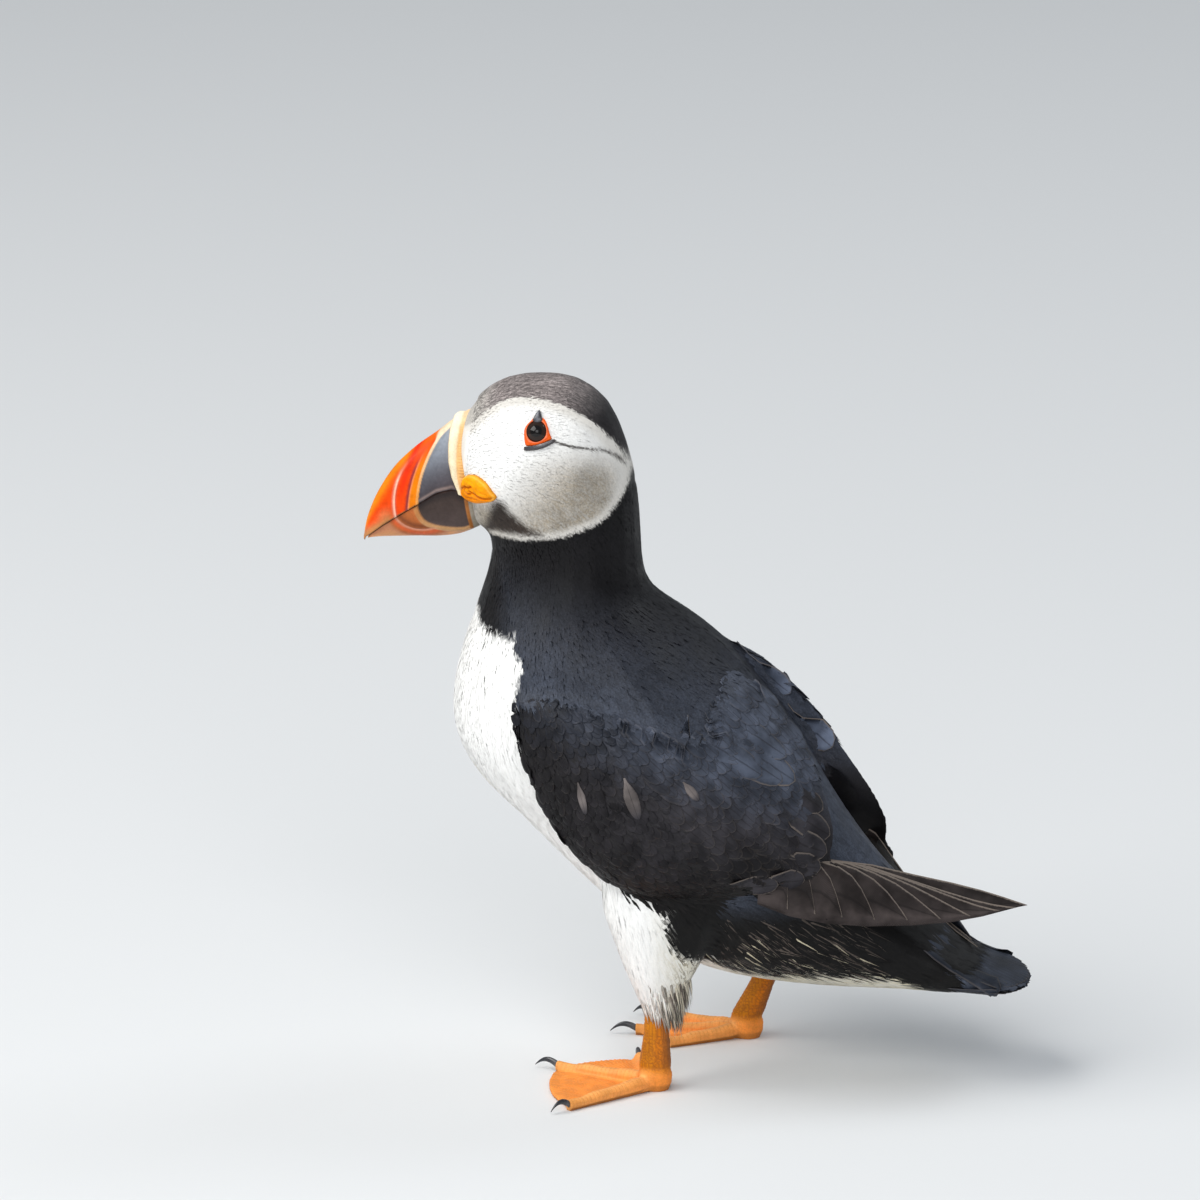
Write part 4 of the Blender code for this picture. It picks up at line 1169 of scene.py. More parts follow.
for side, word in SIDES.items():
    angle = rng.uniform(0, math.tau, CUFF_COUNT)
    ring = np.stack([np.cos(angle), np.sin(angle), 0 * angle], axis=-1)
    behind = smooth(-0.2, 0.9, ring[:, 1] + rng.uniform(-0.3, 0.3, CUFF_COUNT))
    high = rng.uniform(26.0, 37.0, CUFF_COUNT)
    back = -ring[:, 1] * 0.18 + 0.08 + 0.26 * behind
    ways = np.stack([-ring[:, 0] * 0.24, back, np.full(CUFF_COUNT, -1.0)], axis=-1)
    ways += rng.normal(0, 0.05, (CUFF_COUNT, 3))
    radius = 4.7 + 0.34 * (high - 26.0)
    roots = np.array(CUFF_TOP[side]) + ring * radius[:, None] + np.array((0, 0, 1)) * high[:, None]
    kind = rng.random(CUFF_COUNT)
    tint = layered((0.95, 0.94, 0.90), ((0.70, 0.62, 0.46), 0.8 * behind),
                   ((0.12, 0.10, 0.085), behind * (kind > 0.62)), ((0.34, 0.30, 0.26), 1.0 * (kind < 0.07)))
    lengths = (rng.uniform(4.0, 9.0, CUFF_COUNT) + 3.0 * behind) * (0.7 if side == RIGHT else 1.0)
    halves = rng.uniform(0.22, 0.42, CUFF_COUNT)
    outs = unit(ring + np.array((0, 0, 0.1)))
    hairs("cuff_" + word, roots, ways, outs, lengths, halves, tint, "plumage_white")


def plume_tint(spots, _, chance):
    """Flank plumes: mostly black, some worn brown and a few cream."""
    colour = np.tile(PALETTE["flank"], (len(spots), 1))
    colour = mix(colour, "streak", 0.75 * smooth(0.70, 0.97, chance))
    return mix(colour, "cream", 0.9 * (chance > 0.975) * (np.sin(spots[:, 1] * 0.42) > 0.2))


flank = on_trunk & (mid_y > -3) & (mid_y < 44) & (inside(BELLY, middles) < -1.0)
flank &= (mid_z < 56) & (np.abs(mid_x) > 14)
plant("flank_plumes", scatter(flank, 1.0), "plumage_mixed", down_finish, length=1.6, width=0.5, rise=1.15,
      tousle=8, plain=0.8, colour=plume_tint)
STRAYS = (  # tip, way, length, half width: each narrow at its root and fading into the wing at its tip
    ((49.7, -10.9, 86.0), (0.05, 0.34, -0.95), 12.5, 2.0),
    ((47.3, -26.4, 86.0), (0.0, 0.26, -0.97), 9.5, 1.2),
    ((46.2, 5.4, 91.0), (0.0, 0.60, -0.80), 7.0, 1.3),
)
fade = smooth(0.55, 1.0, VANE_ROWS)[:, None]
pale = np.array((0.125, 0.108, 0.104)) * (1 - fade) + np.array(PALETTE["wing"]) * fade
laid_vanes("stray_feathers", *zip(*STRAYS), pale[None, :, None, :], 0.0, "plumage_mixed", low=-0.1, high=0.25,
           tip_round=0.5, base=0.12)

# %% [markdown]
# ## Tail
# Sixteen tail feathers fan out flat. They are laid once over the top of the tail and once under it.

# %% Tail
tail_numbers = np.arange(16) - 7.5
order = np.argsort(-np.abs(tail_numbers))
tail_numbers = tail_numbers[order]
for layer, lift in (("top", 6.0), ("under", -6.0)):
    rear = 94.4 - 0.125 * tail_numbers**2
    tips = np.column_stack([tail_numbers * 2.2, rear, np.full(16, 29.0 + lift * 0.12)])
    roots = np.column_stack([tail_numbers * 1.5, np.full(16, 58.0), np.full(16, 38.0 + lift * 1.6)])
    ways = tips - roots
    lengths = np.linalg.norm(ways, axis=1) * (1.0 if lift > 0 else 0.72)
    laid_vanes("tail_feathers_" + layer, tips, ways, lengths, 3.6, np.array(PALETTE["back"]) * 0.6, 0.22,
               "plumage_black", low=-0.5, high=0.12, tip_round=0.16)

# %% [markdown]
# ## The bill
# Each half of the bill is a shell between two lines of the side view: the mouth line, which both halves
# share, and the ridge above or the keel below. Ridges and grooves are arcs round centres behind the
# bill, so each is a distance from a point. The same distances raise the horn and colour it.

# %% Bill surfaces
# mouth line (y, z), ridge or keel (y, z), half width; from the root to the tip
UPPER_BILL = (
    (-66.6, 167.2, -66.8, 189.0, 7.2), (-70.0, 168.2, -71.2, 186.2, 7.6), (-74.6, 166.8, -75.4, 183.2, 7.0),
    (-80.4, 162.9, -81.4, 178.7, 6.0), (-85.8, 159.4, -87.5, 172.6, 5.0), (-90.6, 156.0, -92.2, 165.2, 3.9),
    (-93.8, 153.4, -95.1, 158.2, 2.7), (-95.6, 151.9, -96.2, 152.8, 1.2), (-96.0, 150.9, -96.35, 151.5, 0.5),
)
LOWER_BILL = (
    (-62.5, 165.6, -61.0, 158.2, 5.6), (-65.5, 166.6, -64.1, 156.0, 6.9), (-66.8, 167.1, -65.4, 155.2, 7.3),
    (-70.0, 168.1, -69.2, 153.8, 7.2), (-74.6, 166.7, -74.6, 153.0, 6.5), (-80.4, 162.8, -80.4, 152.8, 5.5),
    (-85.8, 159.3, -86.2, 152.5, 4.4), (-90.6, 155.9, -91.0, 152.2, 3.1), (-93.8, 153.3, -94.0, 151.8, 1.7),
    (-95.0, 152.2, -95.1, 151.5, 0.6),
)
BILL_ROWS, BILL_COLUMNS, SEAM_COLUMNS = 190, 150, 6


def horn_shell(name, table, columns, fullness):
    """A closed shell: rows run from root to tip, columns from one side of the mouth over to the other."""
    rows = open_curve(table, BILL_ROWS)
    mouth, ridge, half = rows[:, None, 0:2], rows[:, None, 2:4], rows[:, 4:5]
    turn = np.linspace(0, math.pi, columns)
    share = np.sin(turn) ** (2 / fullness)
    wide = np.sign(np.cos(turn)) * np.abs(np.cos(turn)) ** (2 / fullness)
    side_view = mouth + (ridge - mouth) * share[None, :, None]
    wall = np.dstack([half * wide[None], side_view])
    inner = np.linspace(1, -1, SEAM_COLUMNS + 2)[1:-1]
    floor_line = np.dstack([-half * inner[None] * 0.96, np.repeat(mouth, SEAM_COLUMNS, axis=1)])
    rings = np.concatenate([wall, floor_line], axis=1)
    shares = np.concatenate([share, np.zeros(SEAM_COLUMNS)])
    along = np.repeat(np.linspace(0, 1, BILL_ROWS), rings.shape[1])
    return grid_piece(name, rings), np.tile(shares, BILL_ROWS), along


def arc(points, centre, radius):
    """How far in front of an arc of the side view each point lies."""
    return np.hypot(points[:, 1] - centre[0], points[:, 2] - centre[1]) - radius


def mouth_height(points):
    """How far above the mouth line each point lies in the side view."""
    line = np.array(UPPER_BILL)[::-1]
    return points[:, 2] - np.interp(points[:, 1], line[:, 0], line[:, 1])


RIDGE_ARC, GROOVE_ARC, PALE_ARC = ((-43.3, 161.8), 36.9), ((-44.4, 160.2), 38.8), ((-68.5, 163.6), 18.6)
KEEL_GROOVE = ((-79.4, 164.4), 9.2)
KEEL_LINE = (
    (-80.7, 163.2), (-80.3, 161.4), (-79.5, 159.6), (-78.2, 158.0), (-76.2, 157.0), (-73.6, 156.4),
    (-70.0, 156.1), (-67.0, 156.2), (-65.5, 156.7),
)
SEAM_CURL, SEAM_REACH = 0.24, 0.30  # how far in, and over what height, the walls roll in at the mouth


def roll_in(points, height):
    """Walls rolled inward beside the mouth line, which leaves a fine dark seam."""
    near_seam = 1 - smooth(0, SEAM_REACH, np.abs(height))
    rolled = points.copy()
    rolled[:, 0] -= np.sign(points[:, 0]) * SEAM_CURL * near_seam
    return rolled


# %% [markdown]
# ## Upper bill
# A cream ridge stands up between the slate blue root and the orange horn in front of it. Two grooves are
# pressed into the horn: a dark one next to the ridge and a pale one further forward.

# %% Upper bill
upper_bill, up, up_along = horn_shell("upper_bill", UPPER_BILL, BILL_COLUMNS, 1.85)
points = coordinates(upper_bill)
ridge, groove, pale = arc(points, *RIDGE_ARC), arc(points, *GROOVE_ARC), arc(points, *PALE_ARC)
lip = mouth_height(points)
away = 1 - smooth(0.62, 0.84, up)  # the grooves fade before they reach the ridge of the bill
groove_cut = bell(groove, 0.34) * away
in_front = smooth(0.0, 0.8, groove)
pale_cut = bell(pale, 0.40) * (1 - smooth(0.60, 0.86, up)) * in_front
ridge_rise = bell(ridge, 0.85)
lift = 0.30 * ridge_rise - 0.30 * groove_cut - 0.32 * pale_cut - 0.16 * (1 - smooth(-1.2, -0.3, ridge))
lift += 0.10 * bell(pale - 0.9, 0.5) * away + 0.08 * bell(groove - 0.8, 0.4) * away
lip_line = bell(lip - 1.9 - 0.12 * (points[:, 1] + 82), 0.3) * smooth(-0.2, 0.8, -ridge)
lift -= 0.12 * lip_line * smooth(4, 1, -points[:, 1] - 80)
wall = smooth(0.0, 0.02, up)
points = roll_in(points + normals(upper_bill) * (lift * wall)[:, None], lip + 0.02)
points[:, 2] += 0.02 * (up == 0)
move(upper_bill, points)

y = points[:, 1]
slate = layered((0.075, 0.067, 0.078), ((0.27, 0.30, 0.35), smooth(0.10, 0.95, up)),
                ((0.055, 0.045, 0.050), 0.8 * (1 - smooth(0.8, 3.2, lip))),
                ((0.27, 0.20, 0.18), 0.75 * bell(lip - 0.95, 0.42) * smooth(-67.5, -71, y)),
                ((0.022, 0.017, 0.016), 0.8 * (1 - smooth(0.0, 0.5, lip))))
near_lip = 1 - smooth(0.8, 4.0, lip + 0.5 * bell(y + 91, 2))
orange = layered((0.92, 0.066, 0.0), ((0.95, 0.24, 0.0), smooth(0.74, 0.97, up) * smooth(0, 3, groove)),
                 ((0.95, 0.26, 0.003), smooth(0.50, 0.95, up) * smooth(-1, 5, pale)),
                 ((0.88, 0.030, 0.0), bell(groove - 1.9, 1.1) * smooth(0.1, 0.6, up)),
                 ((0.94, 0.23, 0.0), (1 - smooth(-0.6, 0.1, groove)) * (1 - smooth(0.5, 0.95, up))),
                 ((0.56, 0.26, 0.13), 0.9 * near_lip * smooth(-1.0, 3.0, pale)),
                 # painted highlight: a pale pink patch about 3 mm above the mouth line, in front of the pale groove
                 ((0.85, 0.30, 0.16), 0.55 * bell(lip - 3.0, 1.6) * bell(pale - 3.5, 2.0)),
                 ((0.30, 0.13, 0.06), (1 - smooth(0.1, 0.7, lip)) * smooth(-0.5, 0.5, ridge)))
orange = orange * (0.86, 0.88, 0.6)
cream = layered((0.78, 0.33, 0.08), ((0.84, 0.50, 0.24), smooth(0.15, 0.55, up)),
                ((0.90, 0.72, 0.50), smooth(0.6, 0.95, up)))
ridge_width = 0.46 + 0.95 * smooth(0.86, 1.0, up)
on_ridge = 1 - smooth(ridge_width * 0.55, ridge_width, np.abs(ridge + 0.1 - 0.15 * smooth(0.6, 1.0, up)))
tint = over(over(orange, slate, 1 - smooth(-0.25, 0.05, ridge)), cream, on_ridge)
tint = layered(tint, ((0.95, 0.70, 0.42), smooth(0.965, 1.0, up) * (1 - smooth(-0.2, 1.6, ridge))),
               ((0.16, 0.035, 0.060), 0.90 * bell(groove, 0.32) * away),
               # painted highlight: a pink line along the rear edge of the dark groove
               ((0.90, 0.30, 0.16), 0.6 * bell(groove + 0.5, 0.2) * away),
               ((0.92, 0.56, 0.42), 0.95 * bell(pale + 0.05, 0.38) * (1 - smooth(0.66, 0.90, up)) * in_front),
               ((0.42, 0.06, 0.03), 0.6 * bell(pale + 0.60, 0.24) * away * in_front),
               ((0.05, 0.035, 0.03), smooth(0.982, 0.995, up_along)))
paint(upper_bill, "tint", tint)

# %% [markdown]
# ## Lower bill
# A raised cream line divides a dark plate at the root from the orange horn round it. One pale groove is
# pressed into the horn.

# %% Lower bill
lower_bill, low_share, _ = horn_shell("lower_bill", LOWER_BILL, 120, 2.1)
points = coordinates(lower_bill)
keel_curve = open_curve(KEEL_LINE, 40)
keel = -inside(((-50.0, 175.0), (-80.7, 175.0), *map(tuple, keel_curve), (-50.0, 157.0)), points)
cut = arc(points, *KEEL_GROOVE)
lip = mouth_height(points)
cut_line = bell(cut, 0.32) * smooth(-74, -77, points[:, 1])
lift = 0.30 * bell(keel, 0.8) - 0.28 * cut_line - 0.14 * (1 - smooth(-1.2, -0.3, keel))
wall = smooth(0.0, 0.03, low_share)
points = roll_in(points + normals(lower_bill) * (lift * wall)[:, None], lip - 0.02)
points[:, 2] -= 0.02 * (low_share == 0)
move(lower_bill, points)
plate = layered((0.055, 0.038, 0.033), ((0.085, 0.060, 0.055), smooth(0.2, 0.8, low_share)),
                ((0.020, 0.015, 0.015), 0.8 * (1 - smooth(0.05, 0.25, low_share))))
horn = layered((0.44, 0.12, 0.03), ((0.24, 0.065, 0.02), bell(cut + 1.4, 0.9)),
               ((0.64, 0.11, 0.03), bell(cut - 0.9, 0.7)), ((0.50, 0.20, 0.10), smooth(1.6, 3.0, cut)),
               ((0.68, 0.31, 0.13), smooth(2.0, 4.5, cut) * smooth(0.3, 0.9, low_share)))
keel_cream = layered((0.46, 0.19, 0.06), ((0.56, 0.30, 0.13), smooth(0.2, 0.8, low_share)))
rear = points[:, 1] + 0.13 * (points[:, 2] - 161)
tint = over(horn, plate, 1 - smooth(-0.35, 0.0, keel))
tint = layered(tint, (keel_cream, 1 - smooth(0.55, 0.95, np.abs(keel - 0.1))),
               ((0.40, 0.15, 0.04), smooth(-66.1, -65.7, rear)),
               ((0.36, 0.32, 0.26), smooth(-65.1, -64.7, rear)),
               ((0.78, 0.36, 0.24), 0.85 * cut_line),
               ((0.08, 0.04, 0.03), 0.75 * (1 - smooth(0.1, 0.5, np.abs(lip)))))
paint(lower_bill, "tint", tint)

# %% [markdown]
# ## Horn and skin finishes
# Horn, bare skin and scales all take their main colour from the mesh. The nodes only add what is too
# fine to model: cloudy tones, growth lines and pores.

# %% Horn finish
bare, given, result = new_group("Bare parts", ("Colour", "Grain", "Cloud", "Low gloss", "High gloss"),
                                ("Colour", "Roughness", "Height"))
fine, broad = noise(bare, given["Grain"]), noise(bare, given["Cloud"], 2.0)
tone = product(bare, ramp(bare, fine, 0.3, 0.7, 0.93, 1.07), ramp(bare, broad, 0.3, 0.7, 0.90, 1.10))
bare.links.new(scaled(bare, given["Colour"], tone), result["Colour"])
bare.links.new(ramp(bare, broad, 0.3, 0.7, given["Low gloss"], given["High gloss"]), result["Roughness"])
bare.links.new(fine, result["Height"])


def bare_finish(name, grain, cloud, relief_depth, low_gloss, high_gloss, **sockets):
    """A finish for bare parts: grain and cloud are sizes in mm."""
    values = {"Grain": 1000 / grain, "Cloud": 1000 / cloud, "Low gloss": low_gloss, "High gloss": high_gloss}
    return place_group(bare, name, lambda tree: values, 0.5, relief_depth, **sockets)


horn_finish = bare_finish("horn", 0.9, 5.0, 0.10, 0.32, 0.44, Specular_IOR_Level=0.16)
flesh_finish = bare_finish("bare_skin", 0.5, 3.0, 0.12, 0.40, 0.54, Specular_IOR_Level=0.11)
slate_finish = bare_finish("slate_horn", 0.5, 2.5, 0.08, 0.26, 0.36, Coat_Weight=0.4, Coat_Roughness=0.15)
leg_finish = bare_finish("leg_skin", 0.5, 4.0, 0.14, 0.46, 0.60, Specular_IOR_Level=0.22)
claw_finish = bare_finish("claw_horn", 0.6, 2.0, 0.06, 0.22, 0.34, Coat_Weight=0.3, Coat_Roughness=0.15)
dress(upper_bill, horn_finish, "bill_horn", "bill_upper")
dress(lower_bill, horn_finish, "bill_horn", "bill_lower")

# %% [markdown]
# ## The cere
# A soft cream bead runs over the root of the bill. Its front strip is smooth. Its rear strip is lower
# and finely ribbed where it meets the feathers.

# %% Cere
CERE_FRONT = ((165.6, -67.6), (167.8, -68.3), (171.8, -70.0), (176.2, -71.0), (180.6, -71.2), (185.1, -70.9),
              (188.5, -70.1), (191.5, -69.0))
CERE_REAR = ((165.6, -66.3), (168.0, -66.0), (171.0, -65.8), (175.0, -65.5), (179.0, -65.1), (185.5, -64.3),
             (190.7, -63.3), (193.0, -62.9))
CERE_STEPS, CERE_ROUND = 520, 34
turn = np.radians(np.linspace(3, 177, CERE_STEPS))
across = np.linspace(0, 1, CERE_ROUND)
profile = 0.62 * np.sin(np.pi * np.clip(across / 0.44, 0, 1)) ** 0.8
profile += 0.46 * np.sin(np.pi * np.clip((across - 0.36) / 0.64, 0, 1)) ** 0.7
taper = smooth(3, 24, np.degrees(turn)) * smooth(177, 156, np.degrees(turn))
half = 7.65 + 1.15 * across[:, None]
bottom, top = 166.0 - 0.3 * across[:, None], 188.1 + 2.1 * across[:, None]
wide = np.sign(np.cos(turn)) * np.abs(np.cos(turn)) ** (2 / 1.9)
z = bottom + (top - bottom) * np.sin(turn) ** (2 / 1.9)
y_front = np.interp(z, *np.array(CERE_FRONT).T)
y_rear = np.interp(z, *np.array(CERE_REAR).T)
y = y_front + (y_rear - y_front) * across[:, None]
base = np.dstack([half * wide, y, z])
out = unit(np.stack([np.cos(turn), 0 * turn, np.sin(turn) * 0.75], axis=-1))
ribs = 0.07 * np.sin(turn * 170 + 0.8 * np.sin(turn * 31)) * smooth(0.42, 0.62, across)[:, None]
rise = (profile[:, None] + ribs) * (0.35 + 0.65 * taper) + 0.10
outer = base + out * rise[..., None]
inner = base[::-1] - out * 0.9
cere = grid_piece("cere", np.concatenate([outer, inner]).transpose(1, 0, 2))
share = np.tile(np.concatenate([across, across[::-1]]), CERE_STEPS)
turns = np.repeat(turn, 2 * CERE_ROUND)
climb = np.sin(turns)
rib_tone = np.sin(turns * 170 + 0.8 * np.sin(turns * 31))
tint = layered((0.86, 0.76, 0.53), ((0.93, 0.85, 0.66), smooth(0.6, 0.97, climb)),
               ((0.78, 0.46, 0.19), smooth(0.33, 0.48, share) * (1 - 0.35 * smooth(0.80, 0.98, climb))),
               ((0.72, 0.36, 0.09), smooth(0.4, 0.9, share) * (1 - smooth(0.2, 0.7, climb))),
               ((0.62, 0.30, 0.10), smooth(0.55, 0.8, share) * smooth(-0.2, -0.9, rib_tone) * 0.65),
               ((0.70, 0.36, 0.10), 0.5 * (1 - smooth(0.0, 0.06, share))))
dress(cere, flesh_finish, "cere_skin", "bill_cere", tint=tint)

# %% [markdown]
# ## The face
# Eye ring, eye plates and rosettes are laid on the side of the head by offsets back and up from a
# centre. A gently curved patch is fitted to the solids round each centre, so the pieces follow the head.

# %% Places on the face
def face_patch(side, y, z, inner, outer):
    """A function from offsets (back, up) to places and outward directions on the side of the head."""
    rows, values = [], []
    for reach in np.linspace(inner, outer, 4):
        for angle in np.linspace(0, math.tau, 24, endpoint=False):
            back, up = reach * math.cos(angle), reach * math.sin(angle)
            hit = flesh_tree.ray_cast(Vector((side * 90, y + back, z + up)), Vector((-side, 0, 0)))[0]
            if hit is not None:
                rows.append((1, back, up, back**2, back * up, up**2))
                values.append(abs(hit.x))
    a, b, c, d, e, f = np.linalg.lstsq(np.array(rows), np.array(values), rcond=None)[0]

    def place(offsets):
        back, up = offsets[..., 0], offsets[..., 1]
        x = a + b * back + c * up + d * back**2 + e * back * up + f * up**2
        out = [np.full_like(back, 1.0), -(b + 2 * d * back + e * up), -(c + e * back + 2 * f * up)]
        out = unit(np.stack(out, axis=-1))
        spot = np.stack([side * x, y + back, z + up], axis=-1)
        return spot, out * (side, 1, 1)

    return place


def dome(name, place, outline, rise, rings, corners):
    """A closed cushion on the face; rise(share, offsets) is its height, and share is 1 at the rim."""
    edge = closed_curve(outline, corners)
    middle = edge.mean(0)
    shares = np.linspace(0.02, 1, rings)
    offsets = middle + (edge - middle)[None] * shares[:, None, None]
    spots, outs = place(offsets)
    top = spots + outs * rise(np.broadcast_to(shares[:, None], offsets.shape[:2]), offsets)[..., None]
    skirt = spots[-1:] - outs[-1:] * 0.9
    piece = grid_piece(name, np.concatenate([top, skirt]))
    all_shares = np.append(np.repeat(shares, corners), np.full(corners, 1.0))
    return piece, all_shares, np.concatenate([offsets.reshape(-1, 2), offsets[-1]])


# %% [markdown]
# ## Eyes, lids and eye plates
# The eyeball is a ball with a bulging cornea. A pleated ring of red skin lies round it, and a small
# slate plate sits above and below the ring.

# %% Eyes, lids and eye plates
EYE_LIFT, LID_INNER = 3.0, 2.72  # how deep the eyeball's centre lies, and the opening of the lids
RING = (
    (-3.55, -0.35), (-3.40, 0.7), (-2.85, 1.65), (-1.9, 2.6), (-1.1, 3.4), (0.2, 3.9), (1.5, 3.5), (2.3, 2.8),
    (3.1, 1.3), (3.7, -0.3), (4.35, -1.85), (3.2, -2.5), (1.9, -2.95), (-0.2, -3.6), (-2.0, -3.85),
    (-2.9, -3.7), (-3.35, -2.1),
)
RING_PROFILE = (  # share of the way from the opening outward, and height
    (0.0, -0.55), (0.02, 0.00), (0.06, 0.20), (0.12, 0.34), (0.2, 0.42), (0.3, 0.40), (0.42, 0.30),
    (0.55, 0.24), (0.68, 0.24), (0.8, 0.20), (0.9, 0.06), (1.0, -0.20),
)
PLATE_ABOVE = (
    (-1.3, 2.6), (-0.95, 3.6), (-0.5, 4.5), (0.15, 5.15), (0.6, 5.15), (0.95, 4.4), (1.3, 3.5), (1.5, 2.6),
    (0.2, 2.1),
)
PLATE_BELOW = (
    (-3.1, -4.1), (-3.2, -4.7), (-2.8, -5.2), (0.2, -4.85), (2.9, -4.05), (5.2, -2.75), (5.4, -2.2),
    (5.0, -2.0), (3.5, -2.75), (1.1, -3.75), (-1.6, -4.15),
)
PLATES = {  # outline, the node it stands for, thickness and strength of its painted highlight
    "above": (PLATE_ABOVE, "upper", 0.62, 0.7),
    "below": (PLATE_BELOW, "lower", 0.42, 0.22),
}
RING_CORNERS = 144
for side, word in SIDES.items():
    ball = to_bird([v.co[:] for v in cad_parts["eye_" + word].data.vertices])
    eye_centre = (ball.max(0) + ball.min(0)) / 2
    eye_radius = float(np.ptp(ball, axis=0).mean() / 2)
    place = face_patch(side, eye_centre[1], eye_centre[2], 4.6, 7.2)
    hit, aim = place(np.zeros(2))
    slip = (eye_centre + aim * EYE_LIFT - hit)[1:]
    place = face_patch(side, hit[1] + slip[0], hit[2] + slip[1], 4.6, 7.2)
    # eyeball with a slightly bulging cornea
    select_only(floor)
    bpy.ops.mesh.primitive_uv_sphere_add(segments=64, ring_count=40, radius=1)
    eyeball = bpy.context.active_object
    eyeball.name = eyeball.data.name = "eyeball_" + word
    flat = np.array([v.co[:] for v in eyeball.data.vertices])
    spread = np.hypot(flat[:, 0], flat[:, 1]) * eye_radius
    shape = flat * eye_radius
    shape[:, 2] += 0.38 * (1 - smooth(0, 2.9, spread)) * (flat[:, 2] > 0)
    aim_turn = np.array(Vector(aim).to_track_quat("Z", "Y").to_matrix())
    move(eyeball, shape @ aim_turn.T + eye_centre)
    bpy.ops.object.shade_smooth()
    pupil = smooth(1.75, 1.60, spread) * (flat[:, 2] > 0)
    eye_tint = layered((0.022, 0.011, 0.007), ((0.004, 0.003, 0.003), pupil))
    eye_finish = bare_finish("eye_" + word, 0.6, 1.5, 0.0, 0.03, 0.05, Specular_IOR_Level=0.35)
    dress(eyeball, eye_finish, "eye", "eye_" + word, tint=eye_tint)
    # ring of bare skin round the opening
    outline = closed_curve(RING, RING_CORNERS)
    angle = np.arctan2(outline[:, 1], outline[:, 0])
    opening = np.stack([np.cos(angle), np.sin(angle)], axis=-1) * LID_INNER
    shares, heights = np.array(RING_PROFILE).T
    offsets = opening + (outline - opening)[None] * shares[:, None, None]
    spots, outs = place(offsets)
    pleats = 0.05 * np.sin(angle * 23 + 1.3 * np.sin(angle * 7)) * smooth(0.1, 0.5, shares)[:, None]
    top = spots + outs * (heights[:, None] + pleats)[..., None]
    under = spots[[-1, 0]] - outs[[-1, 0]] * 1.0
    lid = grid_piece("eye_ring_" + word, np.concatenate([top, under]), wrap_rows=True)
    ring_share = np.repeat([*shares, 1, 0], RING_CORNERS)
    # Painted highlight: a pale pink band along the crest of the raised rim of the ring.
    lid_tint = layered((0.86, 0.115, 0.012), ((0.93, 0.30, 0.17), bell(ring_share - 0.2, 0.12) * 0.7),
                       ((0.55, 0.035, 0.008), smooth(0.06, 0.0, ring_share)),
                       ((0.80, 0.20, 0.05), smooth(0.8, 1.0, ring_share) * 0.6))
    dress(lid, flesh_finish, "rosette_skin", tint=lid_tint)
    for name, (outline, node, thick, highlight_strength) in PLATES.items():

        def cushion(share, _):
            return 0.18 + thick * np.sqrt(np.clip(1 - share**2.6, 0, 1))

        plate, share, offsets = dome(f"eye_plate_{name}_{word}", place, outline, cushion, 12, 96)
        # Painted highlight: a pale bluish streak down the middle of the upper plate, and a pale middle on the lower
        # one.
        streak = bell(offsets[:, 0] + 0.1, 0.5) if name == "above" else bell(share, 0.7)
        plate_tint = layered((0.030, 0.026, 0.028), ((0.13, 0.14, 0.17), streak * highlight_strength),
                             ((0.10, 0.065, 0.05), smooth(0.85, 1.0, share) * 0.5))
        dress(plate, slate_finish, "lid_horn", f"eye_plate_{node}_{word}", tint=plate_tint)

# %% [markdown]
# ## Rosettes
# The rosettes are folded cushions of bright yellow skin at the corners of the mouth. Their creases run
# from the mouth to the pointed rear end, with fine wrinkles beside them.

# %% Rosettes
ROSETTE = (
    (-6.0, -2.7), (-5.8, -0.9), (-5.3, 1.0), (-4.3, 2.6), (-2.9, 3.5), (-0.6, 3.7), (2.2, 2.3), (4.2, 0.1),
    (5.4, -1.3), (4.4, -2.7), (2.0, -3.7), (-0.9, -4.6), (-3.7, -4.6), (-5.4, -3.9),
)
CREASES = (  # corners, depth and width of each crease
    (((-5.4, -1.9), (-4.4, -0.7), (-3.2, 0.3), (-2.2, 0.2), (-1.2, 0.8)), 0.85, 0.38),
    (((-3.2, 0.3), (-3.4, -0.9), (-2.4, -1.6), (-1.4, -1.4)), 0.70, 0.32),
    (((-1.6, -0.7), (-0.4, -0.9), (0.8, -1.6), (2.2, -2.0), (4.4, -1.7)), 0.90, 0.36),
    (((-4.9, -2.6), (-3.2, -2.9), (-1.0, -2.5), (0.6, -2.6)), 0.50, 0.36),
    (((-4.2, 1.4), (-3.4, 0.9)), 0.35, 0.26),
    (((0.6, 0.6), (1.8, -0.4), (3.4, -0.9)), 0.25, 0.28),
    (((-1.2, 2.2), (0.4, 1.5)), 0.20, 0.26),
)
